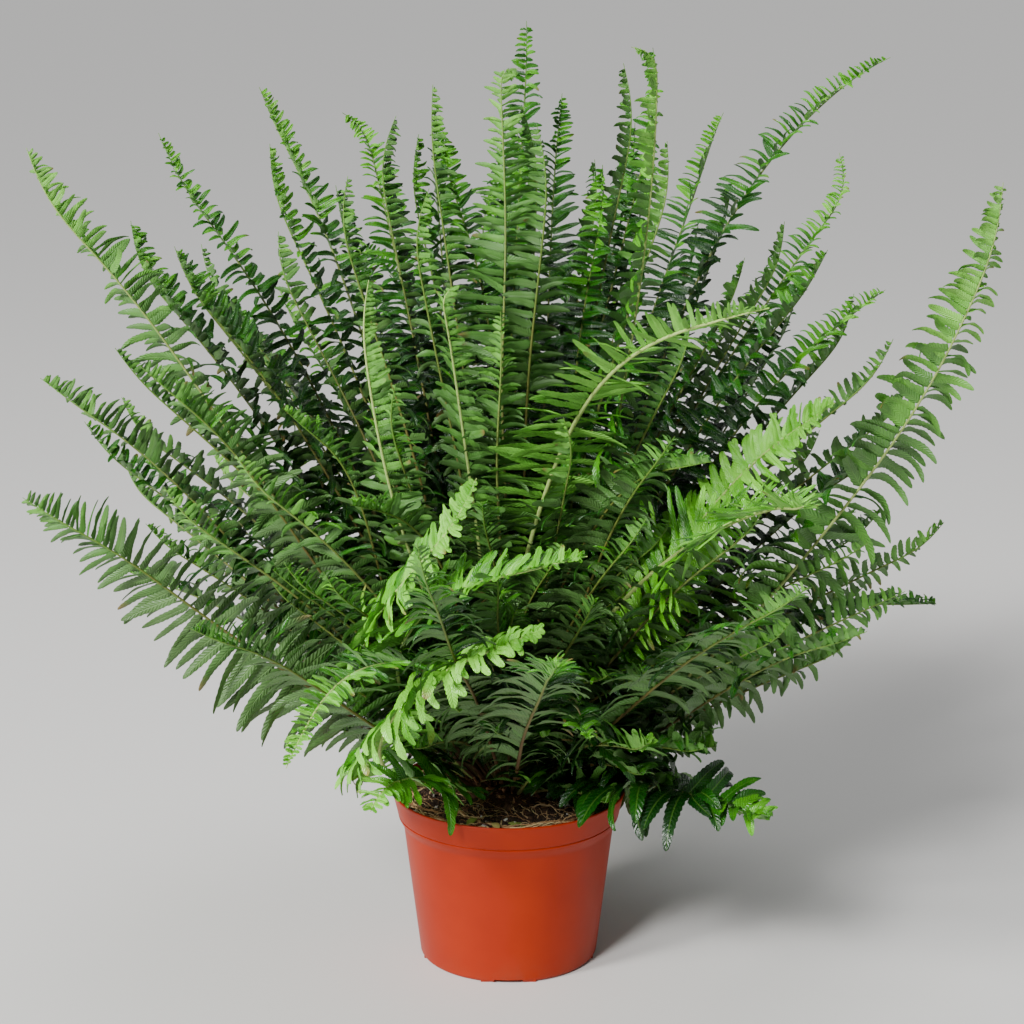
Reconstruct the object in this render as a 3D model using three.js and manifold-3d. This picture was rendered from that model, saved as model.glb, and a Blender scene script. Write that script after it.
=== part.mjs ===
// A potted sword fern: a tapered plastic nursery pot, its root ball of soil, a rhizome crown,
// three surface runners and the fronds that rise from the crown, one mesh for each piece.
// Millimetres, +Z up, +X to the right and +Y to the back. The origin is on the pot's axis, on
// the plane that the pot's foot stands on.
import * as THREE from "three";
import { mergeVertices } from "three/addons/utils/BufferGeometryUtils.js";
import Module from "manifold-3d";

const wasm = await Module();
wasm.setup();

// ---- Driving dimensions -------------------------------------------------------------------

const CLEARANCE = 0.3; // gap between pieces that rest on or in each other

// Pot: a moulded shell with a flared collar at its rim and a standing ring under its floor.
const POT_HEIGHT = 112;
const RIM_RADIUS = 75;
const COLLAR_HEIGHT = 16; // flared band, from the rim down to its crease
const COLLAR_FLARE = 3.8; // how far the rim stands out past the crease
const SHOULDER_HEIGHT = 9; // curved step from the crease in to the wall
const SHOULDER_STEP = 3.7;
const FOOT_RADIUS = 57;
const FOOT_ROUND = 3;
const POT_WALL = 1.6;
const FOOT_RING = 4; // radial width of the ring that the pot stands on
const FLOOR_LIFT = 3; // underside of the pot's floor above the table
const FLOOR_THICKNESS = 1.8;

// Drainage: slots through the floor that open under the foot ring, and round holes between.
const DRAIN_COUNT = 4;
const DRAIN_WIDTH = 18;
const DRAIN_REACH = 13; // how far a slot runs in from the foot's edge
const NOTCH_HEIGHT = 2.4;
const HOLE_RADIUS = 4;
const HOLE_CIRCLE = 34; // radius of the circle that the round holes lie on

// Soil and crown.
const SOIL_BELOW_RIM = 6; // where the soil meets the wall
const SOIL_DOME = 2.5; // how far the middle stands above that
const SOIL_TO_WALL = 0.8;
const CROWN_RADIUS = 33;
const CROWN_HEIGHT = 14;

// Runners: wiry stolons that lie on the soil and follow the pot's wall.
const RUNNER_RADIUS = 0.9;
const RUNNER_TO_WALL = 5;

// Fronds.
const FOLIAGE_SCALE = 1; // scales every frond's reach and height together
const BLADE_SCALE = 1; // scales every blade's width
const BLADE_EDGE = 0.4; // thickness at the blade's margin
const STALK_RADIUS = 1.3; // at the crown
const STALK_TIP_SHARE = 0.35; // the stalk's radius at the tip, as a share of that
const BLADE_FROM = 0.16; // share of a frond's length that is bare stalk
const BLADE_FULL = 0.38; // share at which the blade has its full width
const BLADE_TAPER = 0.62; // share of the length over which the blade narrows to its tip

// ---- Round and sweep helpers --------------------------------------------------------------

const POT_SEGMENTS = 72;
const SOIL_SEGMENTS = 48;
const CROWN_SEGMENTS = 28;
const HOLE_SEGMENTS = 16;

const rad = (degrees) => (degrees * Math.PI) / 180;
const smooth = (x) => THREE.MathUtils.smoothstep(x, 0, 1);

// A lathe profile of [radius, height] pairs, turned about Z.
function turned(profile, segments) {
  const points = profile.map(([r, z]) => new THREE.Vector2(r, z));
  return new THREE.LatheGeometry(points, segments).rotateX(Math.PI / 2);
}

// A geometry as a manifold-3d solid.
function solidOf(geometry) {
  const bare = geometry.clone();
  for (const name of ["normal", "uv"]) bare.deleteAttribute(name);
  const merged = mergeVertices(bare, 1e-4);
  return new wasm.Manifold(
    new wasm.Mesh({
      numProp: 3,
      vertProperties: merged.getAttribute("position").array,
      triVerts: new Uint32Array(merged.index.array),
    }),
  );
}

// A manifold-3d solid as a geometry.
function geometryOf(solid) {
  const mesh = solid.getMesh();
  const geometry = new THREE.BufferGeometry();
  geometry.setAttribute("position", new THREE.BufferAttribute(mesh.vertProperties, 3));
  geometry.setIndex(new THREE.BufferAttribute(mesh.triVerts, 1));
  return geometry;
}

// A closed skin over rings of points, each ring in the same order, with flat ends.
function skinned(rings) {
  const n = rings[0].length;
  const last = (rings.length - 1) * n;
  const index = [];
  for (let i = 0; i < last; i += n)
    for (let j = 0; j < n; j++) {
      const k = (j + 1) % n;
      index.push(i + j, i + k, i + n + k, i + j, i + n + k, i + n + j);
    }
  for (let j = 1; j < n - 1; j++) {
    index.push(0, j + 1, j);
    index.push(last, last + j, last + j + 1);
  }
  const geometry = new THREE.BufferGeometry().setFromPoints(rings.flat());
  return geometry.setIndex(index);
}

function material(color, roughness) {
  return new THREE.MeshStandardMaterial({ color, roughness, metalness: 0 });
}

const part = new THREE.Group();

function add(name, geometry, look) {
  const mesh = new THREE.Mesh(geometry, look);
  mesh.name = name;
  part.add(mesh);
}

// ---- Pot ----------------------------------------------------------------------------------

const CREASE_RADIUS = RIM_RADIUS - COLLAR_FLARE;
const WALL_TOP_RADIUS = CREASE_RADIUS - SHOULDER_STEP;
const CREASE_Z = POT_HEIGHT - COLLAR_HEIGHT;
const WALL_TOP_Z = CREASE_Z - SHOULDER_HEIGHT;
const FLOOR_TOP = FLOOR_LIFT + FLOOR_THICKNESS;

// Outside radius of the pot at height z, from the foot's rounding up to the rim.
function potRadius(z) {
  if (z >= CREASE_Z) return CREASE_RADIUS + (COLLAR_FLARE * (z - CREASE_Z)) / COLLAR_HEIGHT;
  if (z >= WALL_TOP_Z) {
    return WALL_TOP_RADIUS + SHOULDER_STEP * smooth((z - WALL_TOP_Z) / SHOULDER_HEIGHT);
  }
  return FOOT_RADIUS + ((WALL_TOP_RADIUS - FOOT_RADIUS) * z) / WALL_TOP_Z;
}

const innerRadius = (z) => potRadius(z) - POT_WALL;

function potBody() {
  const shoulder = [0, 0.3, 0.6, 0.85].map((share) => WALL_TOP_Z + share * SHOULDER_HEIGHT);
  const outside = [
    [FOOT_RADIUS - FOOT_ROUND, 0],
    [FOOT_RADIUS - 0.3 * FOOT_ROUND, 0.3 * FOOT_ROUND],
    [potRadius(FOOT_ROUND), FOOT_ROUND],
    ...shoulder.map((z) => [potRadius(z), z]),
    [CREASE_RADIUS, CREASE_Z],
    [RIM_RADIUS, POT_HEIGHT - POT_WALL / 2],
    [RIM_RADIUS - POT_WALL / 2, POT_HEIGHT],
  ];
  const inside = [
    [RIM_RADIUS - POT_WALL, POT_HEIGHT - POT_WALL / 2],
    [innerRadius(CREASE_Z), CREASE_Z],
    [innerRadius(WALL_TOP_Z), WALL_TOP_Z],
    [innerRadius(FLOOR_TOP), FLOOR_TOP],
    [0, FLOOR_TOP],
  ];
  const under = [
    [0, FLOOR_LIFT],
    [FOOT_RADIUS - FOOT_ROUND - FOOT_RING, FLOOR_LIFT],
    [FOOT_RADIUS - FOOT_ROUND - FOOT_RING, 0],
  ];
  return solidOf(turned([...under, ...outside, ...inside], POT_SEGMENTS));
}

// A block that opens the foot ring and the floor's edge, at the given angle.
function drainSlot(angle) {
  const tall = FLOOR_TOP + POT_WALL;
  const through = new THREE.BoxGeometry(DRAIN_REACH - FOOT_RING - POT_WALL, DRAIN_WIDTH, tall);
  through.translate(FOOT_RADIUS - (DRAIN_REACH + FOOT_RING + POT_WALL) / 2, 0, tall / 2);
  const notch = new THREE.BoxGeometry(DRAIN_REACH, DRAIN_WIDTH, 2 * NOTCH_HEIGHT);
  notch.translate(FOOT_RADIUS + POT_WALL - DRAIN_REACH / 2, 0, 0);
  const slot = solidOf(through).add(solidOf(notch));
  return slot.rotate([0, 0, angle]);
}

function drainHole(angle) {
  const hole = new THREE.CylinderGeometry(HOLE_RADIUS, HOLE_RADIUS, 4 * FLOOR_TOP, HOLE_SEGMENTS);
  hole.rotateX(Math.PI / 2).translate(HOLE_CIRCLE, 0, 0);
  return solidOf(hole).rotate([0, 0, angle]);
}

let potSolid = potBody();
for (let i = 0; i < DRAIN_COUNT; i++) {
  const angle = -90 + (360 * i) / DRAIN_COUNT; // the first slot faces the front
  potSolid = potSolid.subtract(drainSlot(angle));
  potSolid = potSolid.subtract(drainHole(angle + 180 / DRAIN_COUNT));
}
add("pot", geometryOf(potSolid), material(0xb5462a, 0.45));

// ---- Soil and crown -----------------------------------------------------------------------

const SOIL_EDGE_Z = POT_HEIGHT - SOIL_BELOW_RIM;
const SOIL_TOP_Z = SOIL_EDGE_Z + SOIL_DOME;
const soilRadius = (z) => innerRadius(z) - SOIL_TO_WALL;

add(
  "soil",
  turned(
    [
      [0, FLOOR_TOP + CLEARANCE],
      [soilRadius(FLOOR_TOP), FLOOR_TOP + CLEARANCE],
      [soilRadius(WALL_TOP_Z), WALL_TOP_Z],
      [soilRadius(CREASE_Z), CREASE_Z],
      [soilRadius(SOIL_EDGE_Z), SOIL_EDGE_Z],
      [(soilRadius(SOIL_EDGE_Z) + CROWN_RADIUS) / 2, SOIL_EDGE_Z + 0.6 * SOIL_DOME],
      [CROWN_RADIUS + CLEARANCE, SOIL_TOP_Z],
      [0, SOIL_TOP_Z],
    ],
    SOIL_SEGMENTS,
  ),
  material(0x2e2019, 0.95),
);

// Height of the crown's dome above the soil at a distance from the axis.
const domeHeight = (r) => CROWN_HEIGHT * Math.sqrt(Math.max(0, 1 - (r / CROWN_RADIUS) ** 2));
const CROWN_Z = SOIL_TOP_Z + CLEARANCE;

const crownArc = [0, 15, 30, 45, 60, 75].map((a) => [
  CROWN_RADIUS * Math.cos(rad(a)),
  CROWN_Z + CROWN_HEIGHT * Math.sin(rad(a)),
]);
add(
  "crown",
  turned([[0, CROWN_Z], ...crownArc, [0, CROWN_Z + CROWN_HEIGHT]], CROWN_SEGMENTS),
  material(0x5a4226, 0.9),
);

// ---- Runners ------------------------------------------------------------------------------

// Each runner lies on the soil's slope and drifts between the wall and the crown as it goes.
const RUNNERS = [
  // start angle, turn, and how far it wanders in from the wall
  { from: 190, turn: 95, wander: 14 },
  { from: 295, turn: 85, wander: 9 },
  { from: 25, turn: 130, wander: 16 },
];

const soilHeight = (r) => {
  const edge = soilRadius(SOIL_EDGE_Z);
  const middle = (edge + CROWN_RADIUS) / 2;
  if (r > middle) return SOIL_EDGE_Z + (0.6 * SOIL_DOME * (edge - r)) / (edge - middle);
  return SOIL_TOP_Z - (0.4 * SOIL_DOME * (r - CROWN_RADIUS)) / (middle - CROWN_RADIUS);
};

const RUNNER_STEPS = 24;
const RUNNER_SIDES = 6;

function runner({ from, turn, wander }) {
  const rings = [];
  for (let i = 0; i <= RUNNER_STEPS; i++) {
    const t = i / RUNNER_STEPS;
    const angle = rad(from + turn * t);
    const r = soilRadius(SOIL_EDGE_Z) - RUNNER_TO_WALL - wander * Math.sin(Math.PI * t) ** 2;
    const out = new THREE.Vector3(Math.cos(angle), Math.sin(angle), 0);
    const z = soilHeight(r) + RUNNER_RADIUS + CLEARANCE + 0.2 * RUNNER_RADIUS;
    const ring = [];
    for (let j = 0; j < RUNNER_SIDES; j++) {
      const turnBy = (2 * Math.PI * j) / RUNNER_SIDES;
      const place = out.clone().multiplyScalar(r + RUNNER_RADIUS * Math.cos(turnBy));
      ring.push(place.setZ(z + RUNNER_RADIUS * Math.sin(turnBy)));
    }
    rings.push(ring.reverse());
  }
  return skinned(rings);
}

RUNNERS.forEach((row, i) => add(`runner_${i + 1}`, runner(row), material(0xa98655, 0.8)));

// ---- Fronds -------------------------------------------------------------------------------

// Each row is one frond: its group, the azimuth of its tip (0 is +X, 90 is the back), the
// tip's reach from the axis and height over the soil, the stalk's lean from the vertical at the
// crown and at the tip, how far its azimuth swings on the way, the blade's roll about its
// stalk, and the blade's half width. Angles are in degrees.
const FRONDS = [
  ["upright", 319.7, 112.5, 491.4, 18.8, -1.6, -2.5, 31.4, 29],
  ["upright", 260.5, 26, 475.5, 1.1, 1.8, 7.2, 1.3, 28],
  ["upright", 45, 150, 462, 9, 22, 0, 0, 24],
  ["upright", 80.4, 190, 424.6, 11, 20, 7.9, 0, 27],
  ["upright", 129.8, 81.1, 409, 4.2, 56, -4.2, -18.6, 24],
  ["upright", 248, 111.9, 354.2, 15, 34, 2.4, -20, 20],
  ["upright", 10.4, 65, 405, 10.1, 13.1, 0.6, 29.3, 25],
  ["back", 60, 290, 405, 24, 30, 0, 0, 24],
  ["back", 33, 285, 448, 18, 72, 8, 0, 24],
  ["back", 44, 345, 372, 28, 45, -6, 0, 22],
  ["back", 119, 205, 420, 14, 27.8, 0, 4, 24],
  ["back", 138, 222, 432, 22, 40, 0, 15, 26],
  ["back", 153, 262, 402, 26, 46, 0, 10, 25],
  ["back", 92, 290, 370, 25, 40, 0, 0, 27],
  ["back", 106, 318, 300, 35, 60, 0, 0, 27],
  ["back", 76, 314, 285, 38, 62, 0, 0, 27],
  ["back", 128, 325, 262, 42, 66, 0, 0, 26],
  ["back", 55, 325, 225, 45, 72, 0, 0, 26],
  ["back", 92, 305, 175, 52, 82, 0, 0, 27],
  ["back", 146, 305, 170, 52, 82, 0, 0, 26],
  ["back", 112, 270, 85, 62, 98, 0, 0, 26],
  ["back", 70, 275, 90, 60, 96, 0, 0, 26],
  ["back", 36, 299.1, 130, 58, 100.1, -8.6, 0, 26],
  ["left", 185, 303, 410, 37, 46, 0, 30, 28],
  ["left", 171.2, 305.9, 256, 55, 70, 0.5, 39.2, 26],
  ["left", 200.2, 305.7, 218.7, 58.3, 63, -2, 74.8, 30],
  ["left", 168, 262, 350, 33, 50, 0, 20, 26],
  ["left", 180, 215, 345, 27, 48, 0, 20, 26],
  ["left", 196, 231.6, 290, 40.8, 57.4, 0, 28.5, 27],
  ["left", 217.9, 233.8, 148.7, 58.3, 76, -2.7, 26.1, 27],
  ["left", 163, 268, 120, 62, 92, 0, 20, 26],
  ["right", 345, 308, 402, 53, 18, 0, -60, 30],
  ["right", 20, 262, 306, 34, 70, 0, 0, 22],
  ["right", 12, 286, 102, 52, 110, 0, -20, 27],
  ["right", 356, 222, 104, 62, 66, 0, -40, 28],
  ["right", 2, 205, 345, 22, 46, 0, -20, 25],
  ["right", 14, 270, 215, 46, 72, 0, -20, 26],
  ["right", 330, 245, 140, 62, 80, 0, -10, 27],
  ["front", 305.4, 243.6, 347.2, -4.3, 87.6, 21.6, -17, 27],
  ["front", 302.6, 285.3, 244.1, 15.1, 91.7, -47.2, -29.8, 27],
  ["front", 336.6, 214.7, 271, 34.4, 69.1, -20.9, -26.4, 25],
  ["front", 276.6, 205.5, 165.5, 88.1, 89.6, 79.1, 0.1, 22],
  ["front", 281.4, 229.5, 212.5, 48, 98.3, 88.2, 7, 23],
  ["front", 267.7, 203.3, 256.9, 60.3, 40.2, 95.2, 7, 22],
  ["front", 246.2, 297.1, 109.9, 24.6, 146.1, 1.3, 1.1, 24],
  ["front", 236.2, 148.6, 32.7, 64, 140.8, 0.1, 4.9, 24],
  ["front", 228, 130, 350, 23.2, 4, 4.7, 0, 18],
  ["front", 300, 190.4, 265.9, 34.9, 63.4, -0.4, -17.1, 27],
  ["front", 209, 160, 256, 46, 92, 0, 0, 25],
  ["front", 275, 300, 175, 54, 76, 0, 0, 27],
  ["front", 260.6, 290.4, 235.5, 46.5, 49.2, -0.9, 13.4, 27],
  ["front", 303, 300, 205, 54, 66, 0, 0, 27],
  ["skirt", 326, 190, 18, 68, 104, 0, 0, 24],
  ["skirt", 283, 66, 26, 60, 125, 0, 0, 13],
];

const STALK_PULL = 0.42; // how far the stalk keeps its first direction, as a share of the chord
const TIP_PULL = 0.3;
const STEEPEST = 65; // fronds that lean this much or more start at the crown's margin
const INNERMOST = 0.12; // share of the crown's radius where an upright frond starts
const SECTIONS = [0, 0.09, BLADE_FROM, 0.22, 0.3, BLADE_FULL, 0.5, 0.62, 0.74, 0.85, 0.94, 1];

function direction(azimuth, lean) {
  const outward = new THREE.Vector3(Math.cos(rad(azimuth)), Math.sin(rad(azimuth)), 0);
  return outward.multiplyScalar(Math.sin(rad(lean))).setZ(Math.cos(rad(lean)));
}

// Where a stalk with this azimuth and lean leaves the crown's dome, clear of its surface.
function socket(azimuth, lean) {
  const share = INNERMOST + (0.9 - INNERMOST) * Math.min(1, lean / STEEPEST);
  const r = share * CROWN_RADIUS;
  const out = direction(azimuth, 90);
  const surface = out.clone().multiplyScalar(r).setZ(CROWN_Z + domeHeight(r));
  const normal = out.multiplyScalar(r / CROWN_RADIUS ** 2);
  normal.setZ(domeHeight(r) / CROWN_HEIGHT ** 2).normalize();
  const tilt = direction(azimuth, lean).cross(normal).length();
  return surface.addScaledVector(normal, 2 * CLEARANCE + STALK_RADIUS * tilt);
}

function stalkCurve({ azimuth, reach, height, leanIn, leanOut, sweep }) {
  const base = socket(azimuth - sweep, leanIn);
  const tip = direction(azimuth, 90).multiplyScalar(reach * FOLIAGE_SCALE);
  tip.z = SOIL_TOP_Z + height * FOLIAGE_SCALE;
  const chord = base.distanceTo(tip);
  const leaving = direction(azimuth - sweep, leanIn);
  const arriving = direction(azimuth + sweep, leanOut);
  const first = base.clone().addScaledVector(leaving, STALK_PULL * chord);
  const second = tip.clone().addScaledVector(arriving, -TIP_PULL * chord);
  return new THREE.CubicBezierCurve3(base, first, second, tip);
}

// One frond as a closed skin: a bare stalk that widens into a thin blade with a raised midrib.
function frond(row) {
  const curve = stalkCurve(row);
  const level = direction(row.azimuth + 90, 90);
  const rings = SECTIONS.map((u) => {
    const centre = curve.getPointAt(u);
    const along = curve.getTangentAt(u);
    const side = level.clone().addScaledVector(along, -level.dot(along)).normalize();
    side.applyAxisAngle(along, rad(row.roll) * smooth(u / BLADE_FULL));
    const face = along.clone().cross(side);
    const stalk = STALK_RADIUS * (1 - (1 - STALK_TIP_SHARE) * u);
    const rise = smooth((u - BLADE_FROM) / (BLADE_FULL - BLADE_FROM));
    const fall = Math.min(1, (1 - u) / BLADE_TAPER) ** 0.75;
    const half = Math.max(stalk, row.half * BLADE_SCALE * rise * fall);
    const edge = half > 2 * stalk ? BLADE_EDGE / 2 : stalk / 2;
    const outline = [
      [half, -edge],
      [half, edge],
      [0, stalk],
      [-half, edge],
      [-half, -edge],
      [0, -stalk],
    ];
    return outline.map(([across, up]) =>
      centre.clone().addScaledVector(side, across).addScaledVector(face, up),
    );
  });
  return skinned(rings);
}

const counts = {};
for (const [group, azimuth, reach, height, leanIn, leanOut, sweep, roll, half] of FRONDS) {
  counts[group] = (counts[group] ?? 0) + 1;
  const number = String(counts[group]).padStart(2, "0");
  const row = { azimuth, reach, height, leanIn, leanOut, sweep, roll, half };
  add(`${group}_frond_${number}`, frond(row), material(0x2f6b25, 0.5));
}

export default part;
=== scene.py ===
import math
from collections import namedtuple

import bmesh
import bpy
import numpy as np
from mathutils import Matrix, Vector


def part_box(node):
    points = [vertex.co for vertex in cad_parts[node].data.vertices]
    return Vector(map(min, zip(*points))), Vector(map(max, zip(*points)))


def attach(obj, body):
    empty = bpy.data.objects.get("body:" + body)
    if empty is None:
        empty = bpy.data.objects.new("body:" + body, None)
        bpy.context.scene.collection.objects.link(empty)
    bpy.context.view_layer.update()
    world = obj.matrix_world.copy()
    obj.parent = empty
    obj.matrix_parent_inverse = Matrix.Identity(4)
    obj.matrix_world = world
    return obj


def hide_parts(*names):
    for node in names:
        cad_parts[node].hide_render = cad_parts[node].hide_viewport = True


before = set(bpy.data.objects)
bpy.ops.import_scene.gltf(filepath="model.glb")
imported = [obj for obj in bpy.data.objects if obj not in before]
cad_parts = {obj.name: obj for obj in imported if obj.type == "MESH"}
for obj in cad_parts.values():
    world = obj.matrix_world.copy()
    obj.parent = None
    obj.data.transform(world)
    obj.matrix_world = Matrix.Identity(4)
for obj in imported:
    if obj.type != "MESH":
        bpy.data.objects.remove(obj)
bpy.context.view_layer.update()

MM = 0.001
ROOT = "root"

# ---- What the frame says, in millimetres ----

pot_low, pot_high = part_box("pot")
soil_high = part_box("soil")[1]
crown_low, crown_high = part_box("crown")
RIM_RADIUS = (pot_high.x - pot_low.x) / 2 / MM
POT_HEIGHT = pot_high.z / MM
SOIL_TOP = soil_high.z / MM
CROWN_RADIUS = (crown_high.x - crown_low.x) / 2 / MM
CROWN_Z = crown_low.z / MM
CROWN_HEIGHT = (crown_high.z - crown_low.z) / MM


def smooth(x):
    """From 0 to 1 along an S curve."""
    x = np.clip(x, 0.0, 1.0)
    return x * x * (3 - 2 * x)


def unit(v):
    """Rows of v at length one."""
    return v / np.maximum(np.linalg.norm(v, axis=-1, keepdims=True), 1e-12)


def turn(v, axis, angle):
    """v turned about unit axis by angle, row by row."""
    angle = np.asarray(angle, float)
    c, s = np.cos(angle)[..., None], np.sin(angle)[..., None]
    dot = (v * axis).sum(-1, keepdims=True)
    return v * c + np.cross(axis, v) * s + axis * dot * (1 - c)


# ---- Mesh helpers ----


def add(name, data):
    """A new object in the scene."""
    ob = bpy.data.objects.new(name, data)
    bpy.context.scene.collection.objects.link(ob)
    return ob


def mesh_of(name, points, faces, slots=None, sharp=None):
    """A smooth mesh from points in millimetres and lists of equal-sided face arrays.

    Edges that bend by more than sharp degrees stay sharp.
    """
    me = bpy.data.meshes.new(name)
    faces = [np.asarray(f, np.int64) for f in faces if len(f)]
    me.vertices.add(len(points))
    me.vertices.foreach_set("co", (np.asarray(points, float) * MM).astype(np.float32).ravel())
    loops = np.concatenate([f.ravel() for f in faces])
    sizes = np.concatenate([np.full(len(f), f.shape[1]) for f in faces])
    me.loops.add(len(loops))
    me.loops.foreach_set("vertex_index", loops.astype(np.int32))
    me.polygons.add(len(sizes))
    me.polygons.foreach_set("loop_start", (np.cumsum(sizes) - sizes).astype(np.int32))
    if slots is not None:
        me.polygons.foreach_set("material_index", np.asarray(slots, np.int32))
    me.update(calc_edges=True)
    me.validate()
    me.polygons.foreach_set("use_smooth", np.full(len(sizes), True))
    if sharp is not None:
        me.set_sharp_from_angle(angle=math.radians(sharp))
    return me


def piece(name, me, materials, slot, *nodes):
    """An object that rides on the root body, takes the given materials and stands for nodes; slot
    is not used.
    """
    for m in materials:
        me.materials.append(m)
    ob = add(name, me)
    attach(ob, ROOT)
    if nodes:
        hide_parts(*nodes)


def ring_quads(rings, around):
    """The quads between closed rings that hold the same number of points."""
    i = np.arange(rings - 1)[:, None] * around
    j = np.arange(around)
    k = (j + 1) % around
    return np.stack([i + j, i + k, i + around + k, i + around + j], -1).reshape(-1, 4)


def end_caps(rings, around):
    """The polygons that close the first ring and the last."""
    return np.stack([np.arange(around)[::-1], (rings - 1) * around + np.arange(around)])


def tube(points, radii, sides=8, flat=1.0):
    """A closed tube over points: its vertices, quads and the two end polygons."""
    points = np.asarray(points, float)
    n = len(points)
    along = unit(np.gradient(points, axis=0))
    side = np.empty_like(points)
    guess = np.cross(along[0], [0.0, 0.0, 1.0])
    if np.linalg.norm(guess) < 1e-3:
        guess = np.array([1.0, 0.0, 0.0])
    for i in range(n):
        guess = guess - along[i] * (guess @ along[i])
        guess = guess / np.linalg.norm(guess)
        side[i] = guess
    up = np.cross(along, side)
    angle = np.arange(sides) * 2 * math.pi / sides
    radii = np.asarray(radii, float)
    ring = (
        points[:, None]
        + side[:, None] * (radii[:, None] * np.cos(angle))[..., None]
        + up[:, None] * (radii[:, None] * np.sin(angle) * flat)[..., None]
    )
    return ring.reshape(-1, 3), ring_quads(n, sides), end_caps(n, sides)


def gather(parts):
    """Joins (points, quads, caps) parts into one set of arrays."""
    points, quads, caps, at = [], [], {}, 0
    for p, q, c in parts:
        points.append(p)
        quads.append(q + at)
        caps.setdefault(c.shape[1], []).append(c + at)
        at += len(p)
    return (
        np.concatenate(points),
        [np.concatenate(quads)] + [np.concatenate(c) for c in caps.values()],
    )


def set_values(me, name, values, kind="FLOAT", domain="POINT"):
    """Stores values on a mesh for the materials to read."""
    attribute = me.attributes.new(name, kind, domain)
    key = "vector" if kind == "FLOAT_VECTOR" else "value"
    attribute.data.foreach_set(key, np.asarray(values, np.float32).ravel())


def tinted_piece(name, parts, tints, sharp, material, slot, *nodes):
    """A piece of many closed parts, each with a tint of its own."""
    points, faces = gather(parts)
    me = mesh_of(name, points, faces, sharp=sharp)
    set_values(me, "tint", np.repeat(tints, [len(part[0]) for part in parts]))
    piece(name, me, [material], slot, *nodes)


# ---- Materials ----


class Surface:
    """A material built from nodes: a Principled shader and helpers that feed its sockets."""

    def __init__(self, name, **fixed):
        self.material = bpy.data.materials.new(name)
        self.material.use_nodes = True
        self.tree = self.material.node_tree
        self.tree.nodes.clear()
        self.shader = self.tree.nodes.new("ShaderNodeBsdfPrincipled")
        out = self.tree.nodes.new("ShaderNodeOutputMaterial")
        self.link(self.shader.outputs[0], out.inputs[0])
        for key, value in fixed.items():
            self.shader.inputs[key.replace("_", " ")].default_value = value

    def link(self, a, b):
        self.tree.links.new(a, b)

    def node(self, kind, out=0, **inputs):
        """A node's output. p_NAME sets a property; i2 or a name sets or links an input."""
        n = self.tree.nodes.new("ShaderNode" + kind)
        for key in [key for key in inputs if key.startswith("p_")]:
            setattr(n, key[2:], inputs.pop(key))
        for key, value in inputs.items():
            socket = n.inputs[int(key[1:]) if key[1:].isdigit() else key]
            if isinstance(value, bpy.types.NodeSocket):
                self.link(value, socket)
            else:
                socket.default_value = value
        return n.outputs[out]

    def feed(self, socket, value):
        """Links a value to one of the Principled shader's inputs."""
        self.link(value, self.shader.inputs[socket])

    def place(self):
        """The point's place in the object, in metres."""
        return self.node("TexCoord", out=3)

    def attribute(self, name, out=2):
        """A value of the mesh: out 2 for a number, out 1 for a vector."""
        return self.node("Attribute", out=out, p_attribute_name=name)

    def split(self, vector):
        n = self.tree.nodes.new("ShaderNodeSeparateXYZ")
        self.link(vector, n.inputs[0])
        return n.outputs

    def noise(self, scale, detail=3.0, rough=0.55, vector=None):
        vector = vector or self.place()
        return self.node("TexNoise", Vector=vector, Scale=scale, Detail=detail, Roughness=rough)

    def math(self, kind, a, b=0.0, c=0.0):
        return self.node("Math", p_operation=kind, i0=a, i1=b, i2=c)

    def span(self, value, low, high, to_low=0.0, to_high=1.0, kind="LINEAR"):
        """A value from low..high moved to to_low..to_high and kept within it."""
        ends = {"i1": low, "i2": high, "i3": to_low, "i4": to_high}
        return self.node("MapRange", p_interpolation_type=kind, i0=value, **ends)

    def mix(self, share, a, b):
        """Colour a, with colour b over it by share."""
        n = self.tree.nodes.new("ShaderNodeMix")
        n.data_type = "RGBA"
        for at, value in ((0, share), (6, a), (7, b)):
            if isinstance(value, bpy.types.NodeSocket):
                self.link(value, n.inputs[at])
            elif at:
                n.inputs[at].default_value = (*value, 1.0)
            else:
                n.inputs[at].default_value = value
        return n.outputs[2]

    def ramp(self, value, stops):
        n = self.tree.nodes.new("ShaderNodeValToRGB")
        ramp = n.color_ramp
        while len(ramp.elements) < len(stops):
            ramp.elements.new(0.5)
        for element, (at, colour) in zip(ramp.elements, stops):
            element.position = at
            element.color = (*colour, 1.0)
        self.link(value, n.inputs[0])
        return n.outputs[0]

    def bump(self, height, distance, strength=1.0, normal=None):
        inputs = {"Height": height, "Distance": distance, "Strength": strength}
        if normal is not None:
            inputs["Normal"] = normal
        return self.node("Bump", **inputs)


SIDE_VEINS = 15
LEAF_STOPS = [
    (0.0, (0.001, 0.011, 0.001)),
    (0.3, (0.002, 0.036, 0.001)),
    (0.6, (0.017, 0.140, 0.002)),
    (0.85, (0.120, 0.480, 0.010)),
    (1.0, (0.260, 0.740, 0.060)),
]
MIDVEIN_GREEN = (0.14, 0.32, 0.04)
SPECK_GREEN = (0.008, 0.045, 0.004)
UNDERSIDE_GREEN = (0.13, 0.29, 0.06)
DRY_TIP_BROWN = (0.22, 0.13, 0.04)


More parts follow.
